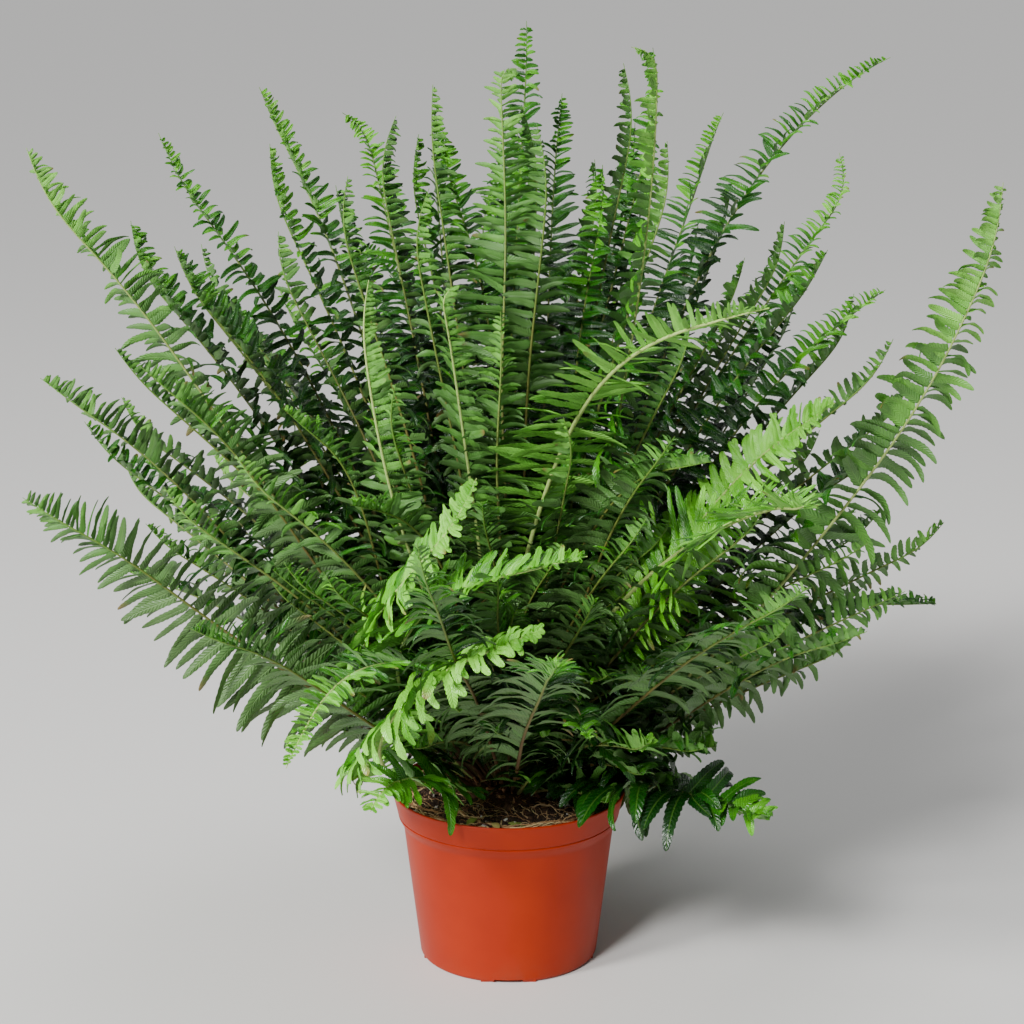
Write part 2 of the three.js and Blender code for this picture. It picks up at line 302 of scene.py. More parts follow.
def leaf_surface():
    """Leaflets: a green by age and chance, veins, paler undersides and a few dry tips."""
    s = Surface("leaflet", Specular_IOR_Level=0.6)
    along, across, under = s.split(s.attribute("leaf", out=1))
    tone, chance, _ = s.split(s.attribute("look", out=1))
    off_vein = s.math("ABSOLUTE", across)
    coarse = s.noise(70.0, 3.0)
    fine = s.noise(620.0, 4.0, 0.65)
    # Side veins leave the midvein forwards and reach the teeth.
    reach = s.math("MULTIPLY_ADD", off_vein, -0.1, along)
    beat = s.math("SINE", s.math("MULTIPLY", reach, 2 * math.pi * SIDE_VEINS))
    veins = s.math("MULTIPLY", beat, s.span(off_vein, 0.02, 0.25))
    midvein = s.span(off_vein, 0.13, 0.03, kind="SMOOTHSTEP")

    value = s.math("MULTIPLY_ADD", s.span(coarse, 0.3, 0.7, -1.0, 1.0), 0.09, tone)
    value = s.math("MULTIPLY_ADD", s.span(chance, 0.0, 1.0, -1.0, 1.0), 0.14, value)
    value = s.math("MULTIPLY_ADD", veins, 0.025, value)
    colour = s.ramp(value, LEAF_STOPS)
    colour = s.mix(s.math("MULTIPLY", midvein, 0.34), colour, MIDVEIN_GREEN)
    colour = s.mix(s.span(fine, 0.35, 0.75, 0.0, 0.22), colour, SPECK_GREEN)
    paler = s.mix(0.45, colour, UNDERSIDE_GREEN)
    colour = s.mix(under, colour, paler)
    dry = s.math("MULTIPLY", s.span(chance, 0.95, 0.97), s.span(along, 0.72, 0.95))
    colour = s.mix(s.math("MULTIPLY", dry, 0.8), colour, DRY_TIP_BROWN)
    s.feed("Base Color", colour)
    gloss = s.span(fine, 0.3, 0.7, 0.22, 0.38)
    s.feed("Roughness", s.math("MULTIPLY_ADD", under, 0.2, gloss))
    folds = s.bump(s.math("MULTIPLY_ADD", midvein, -1.6, veins), 0.00016, 0.8)
    s.feed("Normal", s.bump(fine, 0.00022, 0.5, folds))
    return s.material


STALK_STOPS = [
    (0.0, (0.070, 0.030, 0.012)),
    (0.22, (0.085, 0.045, 0.012)),
    (0.5, (0.11, 0.095, 0.018)),
    (0.8, (0.11, 0.18, 0.022)),
    (1.0, (0.10, 0.27, 0.022)),
]
YOUNG_STALK_GREEN = (0.40, 0.56, 0.15)
STALK_FLECK_BROWN = (0.10, 0.05, 0.02)


def stalk_surface():
    """Stalks: brown at the crown and green at the tip, paler when young, with scaly flecks."""
    s = Surface("stalk", Specular_IOR_Level=0.45)
    tone, _, rise = s.split(s.attribute("look", out=1))
    flecks = s.noise(900.0, 4.0, 0.7)
    at = s.math("MULTIPLY_ADD", s.noise(55.0), 0.3, s.math("ADD", rise, -0.15))
    colour = s.ramp(at, STALK_STOPS)
    colour = s.mix(s.span(tone, 0.3, 0.8), colour, YOUNG_STALK_GREEN)
    colour = s.mix(s.span(flecks, 0.52, 0.68, 0.0, 0.65), colour, STALK_FLECK_BROWN)
    s.feed("Base Color", colour)
    s.feed("Roughness", s.span(flecks, 0.3, 0.7, 0.42, 0.72))
    s.feed("Normal", s.bump(flecks, 0.0005, 0.7))
    return s.material


POT_REDS = (0.29, 0.016, 0.001), (0.36, 0.024, 0.002)
POT_STAIN = (0.18, 0.055, 0.028)
POT_WORN = (0.52, 0.09, 0.035)
STAIN_HEIGHT = 0.022


def pot_surface():
    """Matt red plastic: cloudy, stained near the foot, with fine pale scuffs round it."""
    s = Surface("pot_plastic", Specular_IOR_Level=0.2)
    place = s.place()
    cloud = s.noise(14.0, 4.0, 0.6, place)
    grain = s.noise(1500.0, 3.0, 0.6, place)
    z = s.split(place)[2]
    colour = s.mix(s.span(cloud, 0.3, 0.7), *POT_REDS)
    blots = s.span(s.noise(60.0, 5.0, 0.7), 0.42, 0.7)
    stained = s.math("MULTIPLY", s.span(z, STAIN_HEIGHT, 0.0), blots)
    colour = s.mix(s.math("MULTIPLY", stained, 0.35), colour, POT_STAIN)
    scuffs = s.noise(1.0, 6.0, 0.75, s.node("Mapping", i0=place, i3=(90.0, 90.0, 420.0)))
    worn = s.span(scuffs, 0.66, 0.74, 0.0, 0.22)
    colour = s.mix(worn, colour, POT_WORN)
    s.feed("Base Color", colour)
    rough = s.span(cloud, 0.25, 0.75, 0.36, 0.47)
    s.feed("Roughness", s.math("MULTIPLY_ADD", worn, 0.6, rough))
    waves = s.bump(s.noise(45.0, 2.0, 0.5, place), 0.0006, 0.35)
    s.feed("Normal", s.bump(grain, 0.00006, 0.6, waves))
    return s.material


def soil_surface(name, dark, light, scale=420.0):
    """Crumbly ground between two colours."""
    s = Surface(name, Specular_IOR_Level=0.3)
    coarse = s.noise(scale * 0.35, 5.0, 0.65)
    fine = s.noise(scale * 2.2, 5.0, 0.7)
    value = s.math("MULTIPLY_ADD", fine, 0.5, s.math("MULTIPLY", coarse, 0.5))
    s.feed("Base Color", s.ramp(s.span(value, 0.32, 0.68), [(0.0, dark), (1.0, light)]))
    s.feed("Roughness", s.span(fine, 0.3, 0.7, 0.78, 0.98))
    s.feed("Normal", s.bump(fine, 0.0009, 0.8, s.bump(coarse, 0.0016, 0.6)))
    return s.material


def tinted_surface(name, stops, rough=(0.6, 0.85), grain=700.0):
    """Pieces whose tint attribute picks their colour along a ramp."""
    s = Surface(name, Specular_IOR_Level=0.35)
    tint = s.attribute("tint")
    fine = s.noise(grain, 4.0, 0.7)
    value = s.math("MULTIPLY_ADD", s.span(fine, 0.3, 0.7, -1.0, 1.0), 0.16, tint)
    s.feed("Base Color", s.ramp(value, stops))
    s.feed("Roughness", s.span(fine, 0.3, 0.7, *rough))
    s.feed("Normal", s.bump(fine, 0.0004, 0.6))
    return s.material

# ---- Fronds ----

# A frond's row: its group, azimuth, reach and height, its lean at the crown and at the tip, its
# sweep and roll, its blade's half width and its leaf's tone, from old and dark (0) to young and
# pale (1). Millimetres and degrees.
Row = namedtuple("Row", "group azimuth reach height lean_in lean_out sweep roll half tone")
YOUNG_TONE = 0.7

# The same fronds as the CAD nodes.
FRONDS = [
    ("upright", 319.7, 112.5, 491.4, 18.8, -1.6, -2.5, 31.4, 29, 0.55),
    ("upright", 260.5, 26, 475.5, 1.1, 1.8, 7.2, 1.3, 28, 0.45),
    ("upright", 45, 150, 462, 9, 22, 0, 0, 24, 0.3),
    ("upright", 80.4, 190, 424.6, 11, 20, 7.9, 0, 27, 0.15),
    ("upright", 129.8, 81.1, 409, 4.2, 56, -4.2, -18.6, 24, 0.25),
    ("upright", 248, 111.9, 354.2, 15, 34, 2.4, -20, 20, 0.75),
    ("upright", 10.4, 65, 405, 10.1, 13.1, 0.6, 29.3, 25, 0.3),
    ("back", 60, 290, 405, 24, 30, 0, 0, 24, 0.35),
    ("back", 33, 285, 448, 18, 72, 8, 0, 24, 0.35),
    ("back", 44, 345, 372, 28, 45, -6, 0, 22, 0.45),
    ("back", 119, 205, 420, 14, 27.8, 0, 4, 24, 0.4),
    ("back", 138, 222, 432, 22, 40, 0, 15, 26, 0.45),
    ("back", 153, 262, 402, 26, 46, 0, 10, 25, 0.35),
    ("back", 92, 290, 370, 25, 40, 0, 0, 27, 0.2),
    ("back", 106, 318, 300, 35, 60, 0, 0, 27, 0.2),
    ("back", 76, 314, 285, 38, 62, 0, 0, 27, 0.25),
    ("back", 128, 325, 262, 42, 66, 0, 0, 26, 0.2),
    ("back", 55, 325, 225, 45, 72, 0, 0, 26, 0.2),
    ("back", 92, 305, 175, 52, 82, 0, 0, 27, 0.2),
    ("back", 146, 305, 170, 52, 82, 0, 0, 26, 0.25),
    ("back", 112, 270, 85, 62, 98, 0, 0, 26, 0.2),
    ("back", 70, 275, 90, 60, 96, 0, 0, 26, 0.25),
    ("back", 36, 299.1, 130, 58, 100.1, -8.6, 0, 26, 0.2),
    ("left", 185, 303, 410, 37, 46, 0, 30, 28, 0.5),
    ("left", 171.2, 305.9, 256, 55, 70, 0.5, 39.2, 26, 0.25),
    ("left", 200.2, 305.7, 218.7, 58.3, 63, -2, 74.8, 30, 0.2),
    ("left", 168, 262, 350, 33, 50, 0, 20, 26, 0.25),
    ("left", 180, 215, 345, 27, 48, 0, 20, 26, 0.2),
    ("left", 196, 231.6, 290, 40.8, 57.4, 0, 28.5, 27, 0.25),
    ("left", 217.9, 233.8, 148.7, 58.3, 76, -2.7, 26.1, 27, 0.25),
    ("left", 163, 268, 120, 62, 92, 0, 20, 26, 0.2),
    ("right", 345, 308, 402, 53, 18, 0, -60, 30, 0.6),
    ("right", 20, 262, 306, 34, 70, 0, 0, 22, 0.4),
    ("right", 12, 286, 102, 52, 110, 0, -20, 27, 0.15),
    ("right", 356, 222, 104, 62, 66, 0, -40, 28, 0.3),
    ("right", 2, 205, 345, 22, 46, 0, -20, 25, 0.25),
    ("right", 14, 270, 215, 46, 72, 0, -20, 26, 0.25),
    ("right", 330, 245, 140, 62, 80, 0, -10, 27, 0.2),
    ("front", 305.4, 243.6, 347.2, -4.3, 87.6, 21.6, -17, 27, 0.85),
    ("front", 302.6, 285.3, 244.1, 15.1, 91.7, -47.2, -29.8, 27, 0.85),
    ("front", 336.6, 214.7, 271, 34.4, 69.1, -20.9, -26.4, 25, 0.9),
    ("front", 276.6, 205.5, 165.5, 88.1, 89.6, 79.1, 0.1, 22, 0.95),
    ("front", 281.4, 229.5, 212.5, 48, 98.3, 88.2, 7, 23, 0.8),
    ("front", 267.7, 203.3, 256.9, 60.3, 40.2, 95.2, 7, 22, 0.85),
    ("front", 246.2, 297.1, 109.9, 24.6, 146.1, 1.3, 1.1, 24, 0.9),
    ("front", 236.2, 148.6, 32.7, 64, 140.8, 0.1, 4.9, 24, 0.95),
    ("front", 228, 130, 350, 23.2, 4, 4.7, 0, 18, 0.8),
    ("front", 300, 190.4, 265.9, 34.9, 63.4, -0.4, -17.1, 27, 0.25),
    ("front", 209, 160, 256, 46, 92, 0, 0, 25, 0.3),
    ("front", 275, 300, 175, 54, 76, 0, 0, 27, 0.3),
    ("front", 260.6, 290.4, 235.5, 46.5, 49.2, -0.9, 13.4, 27, 0.25),
    ("front", 303, 300, 205, 54, 66, 0, 0, 27, 0.3),
    ("skirt", 326, 190, 18, 68, 104, 0, 0, 24, 0.3),
    ("skirt", 283, 66, 26, 60, 125, 0, 0, 13, 0.4),
]

# How fronds look: "all" first, then their group, "young" for pale ones, then the frond's name.
# start: where the leaflets start, as a share of the frond's length
# from, curl, hook: where the tip starts to bend, how far inwards and how far sideways
# long, wide, pitch, blunt: a leaflet's length and width, the spacing, how full the tip is
# fold, close: how far leaflets lift, along the frond and more so at its tip
# droop, sag, sickle: how far a leaflet bends down, hangs and bends towards the frond's tip
# seek, shingle, spiral, forward: turns to the light, about itself, about the stalk, to the tip
# channel, ruffle, teeth: a leaflet's hollow, its waves, and the teeth on each edge
# light_tip, tone: how much paler the tip is, and a tone in place of the row's
# aim: the way the leaflets face, or None for the way of the row's roll
# stalk: how thick the stalk is past the crown
STYLES = {
    "all": {
        "start": 0.11, "from": 0.84, "curl": 24, "hook": 0, "long": 1.30, "wide": 0.94,
        "pitch": 0.94, "blunt": 0.5, "fold": 20, "close": 36, "droop": 38, "sag": 0.35,
        "seek": 0.25, "shingle": 12, "spiral": 25, "channel": 0.24, "ruffle": 1.1, "teeth": 10,
        "light_tip": 0.5, "aim": None, "forward": 2, "sickle": 5, "stalk": 1.0,
    },
    "young": {
        "blunt": 0.9, "wide": 1.12, "pitch": 0.86, "long": 1.28, "droop": 14, "sag": 0.12,
        "close": 14, "seek": 0.1, "shingle": 8, "spiral": 0, "ruffle": 1.5,
        "forward": 6, "sickle": 12, "stalk": 1.25, "light_tip": 0.12, "aim": (-0.2, -0.72, 0.66),
    },
    "front": {"start": 0.15},
    "left": {"long": 1.52, "pitch": 0.86, "wide": 0.95, "fold": 26},
    "right": {"long": 1.45, "wide": 1.05},
    "arched": {"long": 1.5, "wide": 1.15, "seek": 0.0, "sag": 0.8, "spiral": 0},
    **{
        ring: {"teeth": 6, "pitch": 1.08, "wide": 1.05}
        for ring in ("centre", "rear", "middle", "low", "under")
    },
    "heart": {"teeth": 6, "start": 0.13},
    "rim": {"wide": 1.35, "pitch": 1.0, "long": 1.9, "ruffle": 1.3, "seek": 0.6},
    "skirt": {
        "wide": 1.35, "pitch": 1.0, "long": 2.3, "ruffle": 1.3, "spiral": 0, "seek": 0.6,
    },
    "front_frond_01": {
        "stalk": 1.6, "tone": 0.88, "light_tip": 0.25, "wide": 0.72, "long": 1.6, "blunt": 0.6,
        "pitch": 0.95, "aim": None, "sag": 0.25, "forward": 0, "sickle": 4,
    },
    "front_frond_02": {
        "stalk": 1.6, "tone": 0.86, "light_tip": 0.2, "wide": 0.75, "long": 1.5, "blunt": 0.6,
        "pitch": 0.95, "aim": (0.2, -0.72, 0.66), "forward": 0, "sickle": 4,
    },
    "front_frond_03": {"long": 1.4, "wide": 1.1},
    "front_frond_04": {
        "start": 0.2, "long": 1.75, "wide": 1.35, "droop": 40, "aim": (-0.3, -0.5, 0.82),
    },
    "front_frond_05": {
        "start": 0.2, "long": 1.5, "droop": 30, "tone": 0.74, "aim": (-0.2, -0.5, 0.84),
    },
    "front_frond_06": {"start": 0.28},
    "front_frond_09": {"tone": 0.6, "light_tip": 0.3, "aim": None, "close": 50},
    "front_frond_07": {"tone": 0.6, "light_tip": 0.35, "long": 1.0, "wide": 0.95},
    "front_frond_08": {"tone": 0.66, "light_tip": 0.25},
    "upright_frond_02": {"from": 0.95, "curl": 110, "hook": 70},
    "upright_frond_05": {"curl": 70},
    "upright_frond_06": {"from": 0.92, "curl": 150, "tone": 0.55, "light_tip": 0.3, "aim": None},
    "upright_frond_01": {"from": 0.94, "curl": 70, "hook": -30},
    "back_frond_01": {"from": 0.9, "curl": 30, "hook": -40},
    "back_frond_02": {"curl": 25, "hook": -48},
    "back_frond_03": {"from": 0.88, "curl": 30, "hook": 40},
    "back_frond_04": {"from": 0.9, "curl": 40, "hook": 45},
    "back_frond_05": {"from": 0.9, "curl": 30, "hook": 35},
    "back_frond_08": {"from": 0.86, "curl": 60, "hook": 70},
}

STALK_PULL = 0.42
TIP_PULL = 0.3
STEEPEST = 65
INNERMOST = 0.12
BLADE_FULL = 0.38
BLADE_TAPER = 0.55
CLEARANCE = 0.3
STALK_RADIUS = 1.3
STALK_TIP_SHARE = 0.35

CURVE_STEPS = 600
SPINE_STEPS = 240
LEAF_PITCH = 6.9
PITCH_AT_TIP = 0.28
LAST_LEAF_AT = 0.993
LOOSE_SHARE = 0.12
STALK_WAVE = 2.2


def direction(azimuth, lean):
    """The way of an azimuth, leaning from straight up by lean degrees."""
    a, b = math.radians(azimuth), math.radians(lean)
    return np.array([math.sin(b) * math.cos(a), math.sin(b) * math.sin(a), math.cos(b)])


def dome_height(r):
    """The crown's height at a distance from its middle."""
    return CROWN_HEIGHT * math.sqrt(max(0.0, 1 - (r / CROWN_RADIUS) ** 2))


def socket(azimuth, lean):
    """Where a stalk with this azimuth and lean leaves the crown's dome."""
    r = (INNERMOST + (0.9 - INNERMOST) * min(1.0, lean / STEEPEST)) * CROWN_RADIUS
    out = direction(azimuth, 90)
    normal = out * r / CROWN_RADIUS**2
    normal[2] = dome_height(r) / CROWN_HEIGHT**2
    normal = unit(normal)
    tilt = np.linalg.norm(np.cross(direction(azimuth, lean), normal))
    surface = out * r
    surface[2] = CROWN_Z + dome_height(r)
    return surface + normal * (2 * CLEARANCE + STALK_RADIUS * tilt)


def spine_of(row):
    """Evenly spaced points along a frond's stalk, from the crown to the tip."""
    base = socket(row.azimuth - row.sweep, row.lean_in)
    tip = direction(row.azimuth, 90) * row.reach
    tip[2] = SOIL_TOP + row.height
    chord = np.linalg.norm(tip - base)
    first = base + direction(row.azimuth - row.sweep, row.lean_in) * STALK_PULL * chord
    second = tip - direction(row.azimuth + row.sweep, row.lean_out) * TIP_PULL * chord
    t = np.linspace(0, 1, CURVE_STEPS)[:, None]
    curve = (
        base * (1 - t) ** 3
        + first * 3 * t * (1 - t) ** 2
        + second * 3 * t**2 * (1 - t)
        + tip * t**3
    )
    far = np.concatenate([[0], np.cumsum(np.linalg.norm(np.diff(curve, axis=0), axis=1))])
    even = np.linspace(0, far[-1], SPINE_STEPS)
    return np.stack([np.interp(even, far, curve[:, i]) for i in range(3)], 1), far[-1]


def frames_of(row, points, length, style, chance):
    """Points and their along, side and face directions, with the tip's curl and small waves."""
    u = np.linspace(0, 1, SPINE_STEPS)
    along = unit(np.gradient(points, axis=0))
    level = direction(row.azimuth + 90, 90)
    side = unit(level - along * (along @ level)[:, None])
    spiral = style["spiral"] * chance.normal(0, 1) * (u - 0.4)
    rolled = math.radians(row.roll) * smooth(u / BLADE_FULL)
    side = turn(side, along, rolled + np.radians(spiral))
    if style["aim"]:
        aimed = unit(np.cross(np.array(style["aim"]), along))
        share = 0.85 * smooth((u - 0.1) / 0.25)[:, None]
        side = unit(side * (1 - share) + aimed * share)
    face = np.cross(along, side)
    tail = smooth((u - style["from"]) / (1 - style["from"])) ** 1.3
    curl = math.radians(style["curl"]) * tail
    hook = math.radians(style["hook"]) * tail
    wave = np.sin(u * chance.uniform(9, 14) + chance.uniform(0, 6))
    wave = math.radians(STALK_WAVE) * wave * smooth(u * 3)
    bent = turn(along, side, -curl)
    face = turn(face, side, -curl)
    bent = turn(bent, face, hook + wave)
    side = turn(side, face, hook + wave)
    step = length / (SPINE_STEPS - 1)
    moved = points[0] + np.cumsum((bent[1:] + bent[:-1]) / 2 * step, 0)
    moved = np.concatenate([points[:1], moved])
    # The stalk keeps its path up to where its tail starts.
    tail_at = int(style["from"] * (SPINE_STEPS - 1))
    moved += (points[tail_at] - moved[tail_at]) * smooth(u / style["from"])[:, None]
    return moved, bent, side, face


def blade_profile(u):
    """A leaflet's length at u, as a share of the longest."""
    rise = 0.42 + 0.58 * smooth((u - 0.05) / (BLADE_FULL - 0.05))
    return rise * np.minimum(1, np.maximum(1 - u, 0) / BLADE_TAPER) ** 0.52


def stalk_radius(u):
    """A stalk's radius at u, the share of the frond's length."""
    return STALK_RADIUS * (1 - (1 - STALK_TIP_SHARE) * u)


def places_of(length, style, chance):
    """Where the leaflets sit, as shares of the frond's length, for one side of it."""
    at = style["start"] + chance.uniform(0, 0.5) * LEAF_PITCH / length
    places = []
    while at < LAST_LEAF_AT:
        places.append(at)
        full = PITCH_AT_TIP + (1 - PITCH_AT_TIP) * min(1.0, blade_profile(at) * 1.05)
        pitch = LEAF_PITCH * style["pitch"] * full
        if at < style["start"] + LOOSE_SHARE:
            pitch *= 1.25 - 1.1 * (at - style["start"])
        at += pitch * chance.uniform(0.9, 1.1) / length
    return np.array(places)


# Outline of a leaflet: half width at s as a share of the full half width, on the side that
# faces the frond's tip (with its ear) and on the other.
OUTLINE_AT = np.array([0.0, 0.035, 0.09, 0.17, 0.3, 0.5, 0.68, 0.82, 0.92, 0.97, 1.0])
TIPWARD = np.array([0.40, 1.05, 1.42, 1.14, 1.0, 0.92, 0.75, 0.53, 0.31, 0.17, 0.03])
BASEWARD = np.array([0.28, 0.70, 0.96, 1.0, 0.97, 0.88, 0.71, 0.50, 0.29, 0.16, 0.03])
# What a blunt leaflet has on top of both.
BLUNTER = np.array([0.0, 0.0, 0.0, 0.0, 0.02, 0.08, 0.20, 0.33, 0.36, 0.29, 0.10])
SHORTEST = 2.4
WIDTH_BASE = 1.9
WIDTH_BY_LENGTH = 0.14
TOOTH_PEAK = 0.66
NOTCH_DEPTH = 0.15
SAG_LENGTH = 34
RING = 6
TO_LIGHT = np.array([0.0, -0.25, 1.0]) / math.hypot(1, 0.25)
UP = np.array([0, 0, 1.0])


def leaflets(row, points, along, side, face, length, style, chance):
    """All leaflets of a frond: points, quads, caps and per-point values."""
    tone = style.get("tone", row.tone)
    groups = []
    for hand in (1.0, -1.0):
        u = places_of(length, style, chance)
        groups.append((u, np.full(len(u), hand)))
    u = np.concatenate([g[0] for g in groups])
    hand = np.concatenate([g[1] for g in groups])
    n = len(u)
    grid = np.linspace(0, 1, SPINE_STEPS)

    def at(values):
        return np.stack([np.interp(u, grid, values[:, i]) for i in range(3)], 1)

    start, fore, out, up = at(points), unit(at(along)), unit(at(side)), unit(at(face))
    out = out * hand[:, None]
    share = blade_profile(u)
    size = row.half * style["long"] * share * chance.normal(1, 0.07, n)
    size = np.maximum(size, SHORTEST)
    width = (WIDTH_BASE + WIDTH_BY_LENGTH * size) * style["wide"] * chance.normal(1, 0.06, n)
    stalk = stalk_radius(u)
    start = start + out * (stalk * 0.55)[:, None] + up * (stalk * 0.35)[:, None]

    tipness = smooth((u - 0.6) / 0.4)
    slow = u * chance.uniform(9, 16) + hand * chance.uniform(0.5, 2)
    slow = np.sin(slow + chance.uniform(0, 6))
    forward = np.radians(style["forward"] + 8 * u + 22 * tipness + chance.normal(0, 8, n))
    fold = style["fold"] + style["close"] * tipness + 8 * slow + chance.normal(0, 11, n)
    fold = np.radians(fold)
    go = out * np.cos(forward)[:, None] + fore * np.sin(forward)[:, None]
    go = unit(go * np.cos(fold)[:, None] + up * np.sin(fold)[:, None])
    wide = unit(fore - go * (fore * go).sum(1, keepdims=True))
    top = -hand[:, None] * np.cross(go, wide)
    # Leaflets turn partly towards the light.
    want = unit(TO_LIGHT - go * (go @ TO_LIGHT)[:, None])
    seen = np.arctan2((np.cross(top, want) * go).sum(1), (top * want).sum(1))
    twist = np.clip(seen, -1.9, 1.9) * style["seek"]
    twist = twist + np.radians(chance.normal(style["shingle"], 20, n))
    top = turn(top, go, twist)
    across = np.cross(top, go)

    # Sections: a tooth and a notch in turn, the teeth leaning towards the leaflet's tip.
    teeth = style["teeth"]
    steps = 2 * teeth
    s = np.empty(steps + 1)
    s[0::2] = np.arange(teeth + 1) / teeth
    s[1::2] = (np.arange(teeth) + TOOTH_PEAK) / teeth
    s = s**0.94
    notch = np.zeros(steps + 1)
    notch[2:-1:2] = 1.0
    droop = np.radians(style["droop"] * chance.normal(1, 0.3, n))
    sickle = np.radians(style["sickle"] + chance.normal(0, 6, n))
    sag = style["sag"] * (size / SAG_LENGTH) * (1 + chance.normal(0, 0.2, n))
    spin = np.radians(chance.normal(0, 14, n))
    phase, waves = chance.uniform(0, 6.3, n), chance.uniform(7, 12, n)
    centre = start
    rings = []
    blunt = np.interp(s, OUTLINE_AT, BLUNTER) * style["blunt"]
    tipward = np.interp(s, OUTLINE_AT, TIPWARD) + blunt
    baseward = np.interp(s, OUTLINE_AT, BASEWARD) + blunt
    # across runs towards the frond's base on one hand and towards its tip on the other.
    plus_is_tip = (across * fore).sum(1) > 0
    for k in range(steps + 1):
        if k:
            ds = s[k] - s[k - 1]
            bend = droop * ds * 1.6 * (0.35 + s[k])
            go, top = turn(go, across, bend), turn(top, across, bend)
            lean = np.where(plus_is_tip, sickle * ds, -sickle * ds)
            go, across = turn(go, top, lean), turn(across, top, lean)
            go = unit(go - UP * (sag * ds * (0.3 + s[k]))[:, None])
            across = unit(across - go * (across * go).sum(1, keepdims=True))
            across = turn(across, go, spin * ds)
            top = np.cross(go, across)
            centre = centre + go * (size * ds)[:, None]
        cut = 1 - NOTCH_DEPTH * notch[k] * (1 - 0.5 * (s[k] > 0.9))
        w_tip = width / 2 * tipward[k] * cut
        w_base = width / 2 * baseward[k] * cut
        plus = np.where(plus_is_tip, w_tip, w_base)
        minus = np.where(plus_is_tip, w_base, w_tip)
        full = math.sin(math.pi * min(1.0, 0.12 + s[k] * 0.9)) ** 0.5
        channel = width * 0.5 * style["channel"] * (1 - 0.4 * s[k])
        ruffle = style["ruffle"] * width * 0.07 * math.sin(math.pi * s[k] * 0.97 + 0.05)
        wave_a = ruffle * np.sin(phase + waves * s[k])
        wave_b = ruffle * np.sin(phase * 1.7 + 1.1 + waves * s[k] * 1.13)
        puff = 0.16 * full
        # Edge, swollen half, midvein, swollen half, edge, and the keel below.
        ring = [
            (plus, channel * 0.9 + wave_a - 0.10),
            (plus * 0.52, channel * 0.55 + wave_a * 0.3 + puff + 0.08),
            (plus * 0.0, np.full(n, -0.04)),
            (-minus * 0.52, channel * 0.55 + wave_b * 0.3 + puff + 0.08),
            (-minus, channel * 0.9 + wave_b - 0.10),
            (plus * 0.0, np.full(n, -0.34 * full - 0.12)),
        ]
        rings.append(
            np.stack([centre + across * a[:, None] + top * b[:, None] for a, b in ring], 1)
        )
    points = np.stack(rings, 1).reshape(-1, 3)
    count = (steps + 1) * RING
    shift = (np.arange(n) * count)[:, None, None]
    quads = (ring_quads(steps + 1, RING)[None] + shift).reshape(-1, 4)
    caps = (end_caps(steps + 1, RING)[None] + shift).reshape(-1, RING)
    number = chance.uniform(0, 1, n)
    tone = np.clip(tone + style["light_tip"] * tipness + chance.normal(0, 0.05, n), 0, 1)
    info = {
        "n": n,
        "along": np.tile(np.repeat(s, RING), n),
        "across": np.tile(np.array([1, 0.5, 0, -0.5, -1, 0.0]), n * (steps + 1)),
        "chance": np.repeat(number, count),
        "tone": np.repeat(tone, count),
        "rise": np.repeat(u, count),
        "under": np.tile(np.isin(np.arange(RING), (4, 5)), steps * n),
        "sections": s,
    }
    return points, quads, caps, info


def bake_map(info, stalk_quads, stalk_sides):
    """Each corner's place in a unit square: a cell for each leaflet, strips for the stalk."""
    n, s = info["n"], info["sections"]
    steps = len(s) - 1
    columns = max(1, int(math.sqrt(n / 2.2)))
    rows = math.ceil(n / columns) + 1
    cell = np.stack([np.arange(n) % columns, np.arange(n) // columns], 1)
    ring_top = np.array([0.04, 0.18, 0.33, 0.48, 0.62])
    ring_low = np.array([0.66, 0.81, 0.96])
    face = np.empty((steps, RING, 4, 2))
    for j in range(RING):
        a, b = (ring_top[j], ring_top[j + 1]) if j < 4 else (ring_low[j - 4], ring_low[j - 3])
        for corner, (ds, v) in enumerate(((0, a), (0, b), (1, b), (1, a))):
            face[:, j, corner, 0] = 0.03 + 0.94 * s[np.arange(steps) + ds]
            face[:, j, corner, 1] = v
    face = face.reshape(-1, 2)
    uv = (face[None] + cell[:, None]) / (columns, rows)
    stalk_rings = stalk_quads // stalk_sides
    r, j = np.divmod(np.arange(stalk_quads), stalk_sides)
    strip = np.empty((stalk_quads, 4, 2))
    for corner, (dr, dj) in enumerate(((0, 0), (0, 1), (1, 1), (1, 0))):
        strip[:, corner, 0] = 0.01 + 0.97 * (r + dr) / stalk_rings
        strip[:, corner, 1] = (rows - 1 + 0.05 + 0.9 * (j + dj) / stalk_sides) / rows
    caps = np.zeros((n, 2, RING, 2))
    cap = np.array([[0, 0], [1, 0], [2, 0], [2, 1], [1, 1], [0, 1]]) * (0.007, 0.1)
    for end, cap_at in enumerate((0.006, 0.978)):
        caps[:, end] = (cell[:, None] + (cap_at, 0.3) + cap) / (columns, rows)
    around = np.arange(stalk_sides) * 2 * math.pi / stalk_sides
    disc = np.stack([np.cos(around), np.sin(around)], 1) * (0.003, 0.3 / rows)
    discs = np.stack([disc + (at, (rows - 0.65) / rows) for at in (0.99, 0.997)])
    return np.concatenate([part.reshape(-1, 2) for part in (uv, strip, caps, discs)])


# By how much fronds of one style differ.
STYLE_SPREAD = {"fold": 7, "droop": 9, "curl": 8, "sag": 0.12}
STALK_SIDES = 8
STALK_RINGS = 90
CELL_FILL = 0.995


